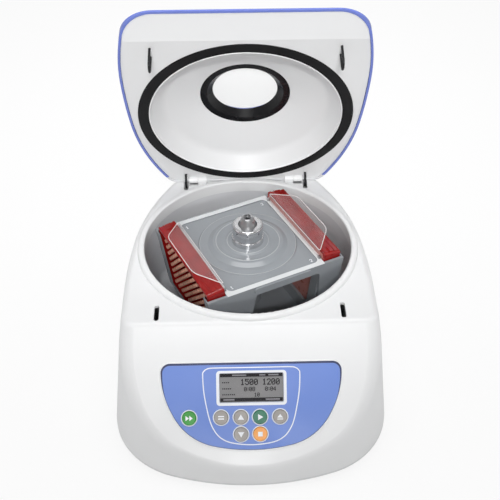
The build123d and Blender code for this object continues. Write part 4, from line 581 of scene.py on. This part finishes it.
ink = Solids()
for text, left, top, pitch in (
    ("1500", -10.8, 16.6, 0.86), ("1200", 10.9, 16.6, 0.86), ("0:08", -7.4, 24.6, 0.6),
    ("0:04", 13.4, 24.6, 0.6), ("10", 2.6, 30.4, 0.56),
):
    dots(ink, text, left, top, pitch, on_panel, DISPLAY_FACE, DISPLAY_FACE + INK)
for top, count in ((19.4, 4), (25.6, 5), (31.4, 7)):
    for k in range(count):
        left = TICK_LEFT + TICK_PITCH * k
        bar(ink, left, top, left + TICK, top + TICK, 0.0)
for top, bottom in ((11.2, 14.6), (35.4, 38.8)):
    bar(ink, -BAR_HALF, top, BAR_HALF, bottom, 0.0)
piece("display_figures", ink, "ink", "housing")

pale = Solids()
for left, right_end in ((-19.0, -5.0), (8.0, 14.0), (17.0, 27.0)):
    bar(pale, left, 12.2, right_end, 13.6, INK)
for left, right_end in ((-28.0, -17.0), (14.0, 28.0)):
    bar(pale, left, 36.4, right_end, 37.8, INK)
piece("display_bars", pale, "pale", "housing")


# A moulded bead round the panel, whose lighter white is a painted highlight, and a dark band along the
# overlay's edge, a painted shadow of the recess wall
def no_left_turn(a, b, c):
    return (b[0] - a[0]) * (c[1] - a[1]) <= (b[1] - a[1]) * (c[0] - a[0])


def panel_loop():
    """The outline of the overlay's face, read from its own mesh."""
    spots = set()
    for v in NODES["panel_overlay"].data.vertices:
        at = Vector(v.co) / MM - PANEL_ORIGIN
        spots.add((round(at.x, 3), round(-at.dot(PANEL_UP), 3)))
    spots = sorted(spots)

    def half(points):
        chain = []
        for q in points:
            while len(chain) > 1 and no_left_turn(chain[-2], chain[-1], q):
                chain.pop()
            chain.append(q)
        return chain[:-1]

    return half(spots) + half(spots[::-1])


def even(points, count):
    """The same number of points spaced evenly along a closed outline."""
    total = [0.0]
    loop = points + points[:1]
    for a, b in zip(loop, loop[1:]):
        total.append(total[-1] + sqrt((b[0] - a[0]) ** 2 + (b[1] - a[1]) ** 2))
    result = []
    k = 0
    for i in range(count):
        want = total[-1] * i / count
        while total[k + 1] < want:
            k += 1
        t = (want - total[k]) / (total[k + 1] - total[k])
        result.append(tuple(loop[k][a] + (loop[k + 1][a] - loop[k][a]) * t for a in (0, 1)))
    return result


BEAD_RADIUS = 0.75
BEAD_DROP = 0.15
SHADOW_INSET = 0.05
SHADOW_NARROW = 0.25
SHADOW_WIDE = 2.0
SHADOW_LEAST = 0.12
SHADOW_FADE = 40.0
overlay_line = even(panel_loop(), 360)
bead = Solids()
bead_line = widened(overlay_line, BEAD_RADIUS)
bead.tube([on_panel(x, y, -BEAD_DROP) for x, y in bead_line], BEAD_RADIUS, closed=True)
piece("panel_bead", bead, "lit_lip", "housing", smooth=True)
# Painted shadow: the dark band is widest along the overlay's top and thins toward its bottom, as the recess
# wall's shadow does.
inner_line = []
for near, far in zip(widened(overlay_line, -SHADOW_NARROW), widened(overlay_line, -SHADOW_WIDE)):
    w = max(SHADOW_LEAST, 1.0 - max(0.0, near[1]) / SHADOW_FADE)
    inner_line.append((near[0] * (1 - w) + far[0] * w, near[1] * (1 - w) + far[1] * w))
film = Solids()
film.band(widened(overlay_line, -SHADOW_INSET), inner_line, *printed)
piece("panel_recess_shadow", film, "recess_shadow", "housing")


# Lid
LID_TURN = radians(69.2)
HINGE_Y, HINGE_Z = 116.4, 144.0
LID_ORIGIN = Vector((0.0, HINGE_Y - HINGE_Y * cos(LID_TURN), HINGE_Z + HINGE_Y * sin(LID_TURN)))
LID_Y = Vector((0.0, cos(LID_TURN), -sin(LID_TURN)))
LID_Z = Vector((0.0, sin(LID_TURN), cos(LID_TURN)))


def on_lid(x, y, z):
    """Places on the open lid, given as they are when it is shut: z is up from the bowl's rim."""
    return tuple(LID_ORIGIN + Vector((x, 0.0, 0.0)) + LID_Y * y + LID_Z * z)


RIM_PROFILE = [
    (103.35, 2.2), (103.2, 0.9), (102.7, 0.5), (102.25, 0.7), (102.0, 1.3), (102.0, 2.4), (103.0, 2.9),
]
# The dish's rim ring takes the lighter lip white, a painted highlight just inside the gasket.
rim = Solids()
rim.lathe(RIM_PROFILE, on_lid, 160)
piece("dish_rim", rim, "lit_lip", "lid", smooth=True)


# Rotor
ROTOR_TURN = radians(25.8)
LEAN = radians(8.0)
ROTOR_TOP = 141.7


def on_rotor(side):
    """Places on the rotor: side is 1 or -1, and u is outward over that side's plate."""
    def place(u, v, z):
        u, v = side * u, side * v
        return (u * cos(ROTOR_TURN) - v * sin(ROTOR_TURN), u * sin(ROTOR_TURN) + v * cos(ROTOR_TURN), z)
    return place


ROTOR_HALF = 57.5
ROTOR_FLOOR = 62.5
PLATE_SKIRT = 19.5
PLATE_CLEARANCE = 0.35
SEAL_THICK = 0.2
PLATE_LOW = ROTOR_FLOOR + PLATE_SKIRT * sin(LEAN) + PLATE_CLEARANCE
PLATE_FOOT = (
    ROTOR_HALF + (PLATE_LOW - ROTOR_TOP) * sin(LEAN) / cos(LEAN) + (PLATE_CLEARANCE + SEAL_THICK)
)


def on_plate(side):
    """Places on a standing plate: along it, up it, and out from its inner face."""
    rotor = on_rotor(side)

    def place(along, rise, out):
        outward = PLATE_FOOT + rise * sin(LEAN) + out * cos(LEAN)
        return rotor(outward, along, PLATE_LOW + rise * cos(LEAN) - out * sin(LEAN))
    return place


FLAP_TOP = 151.0
FLAP_INNER = 56.7
FLAP_CLIMB = 0.2294


def wing_height(u):
    """The height of a shut flap's upper face, which climbs outward."""
    return FLAP_TOP + (u - FLAP_INNER) * FLAP_CLIMB


def fillet_corner(before, corner, after, radius, steps=10):
    """The arc that rounds a corner between two straight runs."""
    a, b, c = Vector(before), Vector(corner), Vector(after)
    first, second = (a - b).normalized(), (c - b).normalized()
    half = first.angle(second) / 2
    reach = radius * cos(half) / sin(half)
    middle = b + (first + second).normalized() * radius / sin(half)
    begin, end = (b + first * reach - middle).normalized(), (b + second * reach - middle).normalized()
    return [tuple(middle + radius * begin.slerp(end, i / steps)) for i in range(steps + 1)]


WING_START = 56.6
WING_TURN = 58.2
WING_TIP = 79.7
WING_HALF = 55.7
TIP_HALF = 32.9
WING_ROUND = 16.0
EDGE_RADIUS = 0.42
WING = [(WING_START, -WING_HALF), (WING_TURN, -WING_HALF)]
for before, corner, after in (
    ((WING_TURN, -WING_HALF), (WING_TIP, -TIP_HALF), (WING_TIP, TIP_HALF)),
    ((WING_TIP, -TIP_HALF), (WING_TIP, TIP_HALF), (WING_TURN, WING_HALF)),
):
    WING += fillet_corner(before, corner, after, WING_ROUND)
WING += [(WING_TURN, WING_HALF), (WING_START, WING_HALF)]

WELL_PITCH = 9.0
WELL_CENTRE = 42.74
TIP_SIDES = 12
TIP_PROFILE = [(2.2, 16.8), (2.2, 18.0), (2.1, 18.6), (1.7, 19.0), (0.8, 19.15)]
PLATE_TOP = 85.55
PLATE_END = 63.95
TOP_RIB_RADIUS = 0.45
END_RIB_RADIUS = 0.4
TAB_HALF = 4.5
TAB_LOW = 85.2
TAB_HIGH = 86.3
for side, word in ((1, "right"), (-1, "left")):
    place = on_rotor(side)
    # Thin pale tubes round each flap's wing and along its inner edge: painted highlights of the clear
    # plastic's edges.
    edge = Solids()
    edge.tube([place(u, v, wing_height(u)) for u, v in WING], EDGE_RADIUS, sides=6)
    for height, radius in ((151.1, 0.4), (143.6, 0.35)):
        run = [place(FLAP_INNER, v, height) for v in (-WING_HALF, -28, 0, 28, WING_HALF)]
        edge.tube(run, radius, sides=6)
    piece(f"flap_edge_{word}", edge, "edge", f"flap_{word}_piece", smooth=True)

    place = on_plate(side)
    # Each well's end is in peach: a painted highlight on the rounded tips.
    tips = Solids()
    for column in range(12):
        for row in range(8):
            a, b = (column - 5.5) * WELL_PITCH, WELL_CENTRE + (row - 3.5) * WELL_PITCH
            verts = [
                place(a + r * cos(2 * pi * k / TIP_SIDES), b + r * sin(2 * pi * k / TIP_SIDES), out)
                for r, out in TIP_PROFILE for k in range(TIP_SIDES)
            ]
            faces = []
            for low in range(0, len(verts) - TIP_SIDES, TIP_SIDES):
                high = low + TIP_SIDES
                for k in range(TIP_SIDES):
                    m = (k + 1) % TIP_SIDES
                    faces.append((low + k, low + m, high + m, high + k))
            faces += [tuple(range(TIP_SIDES)), tuple(range(len(verts) - TIP_SIDES, len(verts)))]
            tips.add(verts, faces)
    piece(f"well_tip_highlight_{word}", tips, "tips", "spindle", smooth=True)

    ribs = Solids()
    for out in (1.4, 6.2, 13.4, 18.4):
        ribs.tube([place(a, PLATE_TOP, out) for a in (-62.4, -30, 0, 30, 62.4)], TOP_RIB_RADIUS, sides=6)
    for end in (-PLATE_END, PLATE_END):
        for out in (1.4, 9.8, 18.4):
            ribs.tube([place(end, b, out) for b in (2.0, 40.0, 84.0)], END_RIB_RADIUS, sides=6)
    for end in (-57.0, 57.0):
        left, right_end = end - TAB_HALF, end + TAB_HALF
        corners = [(left, TAB_LOW), (right_end, TAB_LOW), (right_end, TAB_HIGH), (left, TAB_HIGH)]
        ribs.slab(corners, place, 7.4, 12.2)
    piece(f"plate_ribs_{word}", ribs, "red", "spindle", smooth=False)

BORDER_SUNK = 0.05
BORDER_PROUD = 0.08
place = on_rotor(1)
border = Solids()
border_outer = rounded(-57.3, -68.1, 57.3, 68.1, 0.8)
border_inner = rounded(-53.5, -62.3, 53.5, 62.3, 6.0)
border.band(border_outer, border_inner, place, ROTOR_TOP - BORDER_SUNK, ROTOR_TOP + BORDER_PROUD)
piece("rotor_border", border, "border", "spindle")

# Beads on the crown's rings, in a grey lighter than the rotor's own: partly a painted highlight.
crown = Solids()
for radius, height, thick in ((52.3, 142.0, 0.5), (34.5, 145.6, 0.9), (22.4, 145.7, 0.6)):
    crown.tube([place(x, y, height) for x, y in circle(0.0, 0.0, radius, 120)], thick, closed=True)
piece("crown_rings", crown, "gloss", "spindle", smooth=True)

NUMBER_PITCH = 0.62
NUMBER_LOW = ROTOR_TOP - 1.02
NUMBER_HIGH = ROTOR_TOP - 0.92


def on_top(x, drop, z):
    """Places on the rotor's top, for print that is read from its front edge."""
    return place(x, -drop, z)


numbers = Solids()
for text, u, drop in (("1", -48.5, -58.0), ("1", -48.5, 54.0), ("2", 45.5, -58.0), ("2", 45.5, 54.0)):
    dots(numbers, text, u, drop, NUMBER_PITCH, on_top, NUMBER_LOW, NUMBER_HIGH)
piece("rotor_numbers", numbers, "print", "spindle")


# Marks on the power rocker
ROCKER_TILT = radians(-8.0)
ROCKER_PIVOT = (-34.0, 133.0, 34.0)
ROCKER_HALF = 8.2
ROCKER_FACE = 2.3
ROCKER_RISE = 1.3


def on_rocker(x, z, lift):
    """Places on the rocker's dished face, as it stands at rest."""
    y = ROCKER_FACE + ROCKER_RISE * abs(x) / ROCKER_HALF + lift
    return (
        ROCKER_PIVOT[0] + x * cos(ROCKER_TILT) - y * sin(ROCKER_TILT),
        ROCKER_PIVOT[1] + x * sin(ROCKER_TILT) + y * cos(ROCKER_TILT),
        ROCKER_PIVOT[2] + z,
    )


marks = Solids()
MARK_LOW, MARK_HIGH = -0.02, 0.06
marks.slab([(4.5, -2.6), (5.5, -2.6), (5.5, 2.6), (4.5, 2.6)], on_rocker, MARK_LOW, MARK_HIGH)
marks.band(circle(-5.0, 0.0, 2.5, 28), circle(-5.0, 0.0, 1.7, 28), on_rocker, MARK_LOW, MARK_HIGH)
piece("rocker_marks", marks, "print", "rocker")


# Studio, camera and finish
def area(name, place, target, size, power, fan=180.0):
    """An oblong lamp that points at a target, with its light kept within a fan of degrees."""
    data = bpy.data.lights.new(name, "AREA")
    data.shape = "RECTANGLE"
    data.size = size[0]
    data.size_y = size[1]
    data.energy = power
    data.spread = radians(fan)
    lamp = bpy.data.objects.new(name, data)
    lamp.location = place
    lamp.rotation_euler = (Vector(target) - Vector(place)).to_track_quat("-Z", "Y").to_euler()
    bpy.context.scene.collection.objects.link(lamp)


area("top_softbox", (0.0, 0.05, 1.7), (0.0, 0.0, 0.1), (1.1, 0.8), 10.5)
area("front_softbox", (0.0, -2.15, 1.95), (0.0, 0.09, 0.34), (0.9, 0.12), 0.95, 17.0)
area("left_softbox", (-1.6, -0.2, 1.0), (0.0, 0.0, 0.15), (0.9, 0.9), 2.6)
area("right_softbox", (1.6, -0.2, 1.0), (0.0, 0.0, 0.15), (0.9, 0.9), 2.6)
area("low_softbox", (0.0, -2.2, 0.95), (0.0, -0.12, 0.08), (0.9, 0.3), 0.22, 14.0)
area("back_softbox", (0.0, 1.7, 1.1), (0.0, 0.0, 0.2), (1.6, 1.0), 3.0)


def seen_directly(tree):
    """1 for rays from the camera and rays through glass, 0 for those that light the object."""
    path = tree.nodes.new("ShaderNodeLightPath")
    seen = tree.nodes.new("ShaderNodeMath")
    seen.operation = "MAXIMUM"
    tree.links.new(path.outputs["Is Camera Ray"], seen.inputs[0])
    tree.links.new(path.outputs["Is Transmission Ray"], seen.inputs[1])
    return seen.outputs[0]


def mix_into(tree, share, first, second, target):
    choose = tree.nodes.new("ShaderNodeMixShader")
    tree.links.new(share, choose.inputs[0])
    tree.links.new(first, choose.inputs[1])
    tree.links.new(second, choose.inputs[2])
    tree.links.new(choose.outputs[0], target)


PURE_WHITE = (1.0, 1.0, 1.0, 1.0)
SKY_STRENGTH = 0.34
FLOOR_GLOW = 0.86
FLOOR_HALF = 6

world = bpy.data.worlds.new("studio")
bpy.context.scene.world = world
world.use_nodes = True
wt = world.node_tree
sky = wt.nodes["Background"]
sky.inputs["Color"].default_value = PURE_WHITE
sky.inputs["Strength"].default_value = SKY_STRENGTH
white = wt.nodes.new("ShaderNodeBackground")
white.inputs["Color"].default_value = PURE_WHITE
white.inputs["Strength"].default_value = 1.0
mix_into(
    wt, seen_directly(wt), sky.outputs[0], white.outputs[0], wt.nodes["World Output"].inputs["Surface"],
)

floor_mat, ft, floor_shader = new_material("floor_paper")
floor_shader.inputs["Base Color"].default_value = (0.9, 0.9, 0.9, 1.0)
floor_shader.inputs["Roughness"].default_value = 0.8
floor_shader.inputs["Specular IOR Level"].default_value = 0.2
bump(ft, noise(ft, coords(ft), 60.0), 0.02, 0.001, floor_shader)
glow = ft.nodes.new("ShaderNodeEmission")
glow.inputs["Color"].default_value = PURE_WHITE
share = ft.nodes.new("ShaderNodeMath")
share.operation = "MULTIPLY"
share.inputs[1].default_value = FLOOR_GLOW
ft.links.new(seen_directly(ft), share.inputs[0])
mix_into(
    ft, share.outputs[0], floor_shader.outputs[0], glow.outputs[0],
    ft.nodes["Material Output"].inputs["Surface"],
)
floor_mesh = bpy.data.meshes.new("floor")
floor_corners = [
    (-FLOOR_HALF, -FLOOR_HALF, 0), (FLOOR_HALF, -FLOOR_HALF, 0),
    (FLOOR_HALF, FLOOR_HALF, 0), (-FLOOR_HALF, FLOOR_HALF, 0),
]
floor_mesh.from_pydata(floor_corners, [], [(0, 1, 2, 3)])
floor_mesh.materials.append(floor_mat)
floor = bpy.data.objects.new("floor", floor_mesh)
bpy.context.scene.collection.objects.link(floor)
floor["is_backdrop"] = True

CAMERA_LENS = 66.43
CAMERA_SENSOR = 36.0
CAMERA_PLACE = Vector((-0.01361209, -0.77544224, 0.77760013))
camera_data = bpy.data.cameras.new("camera")
camera_data.lens = CAMERA_LENS
camera_data.sensor_width = CAMERA_SENSOR
camera = bpy.data.objects.new("camera", camera_data)
bpy.context.scene.collection.objects.link(camera)
right = Vector((0.99972514, -0.02324413, -0.00305974))
forward = Vector((0.01590224, 0.76819998, -0.64001242))
up = Vector((0.01722702, 0.63978785, 0.76835847))
camera.matrix_world = Matrix((
    (right.x, up.x, -forward.x, CAMERA_PLACE.x),
    (right.y, up.y, -forward.y, CAMERA_PLACE.y),
    (right.z, up.z, -forward.z, CAMERA_PLACE.z),
    (0.0, 0.0, 0.0, 1.0),
))
bpy.context.scene.camera = camera
bpy.context.scene.view_settings.view_transform = "Standard"

low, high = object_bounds()
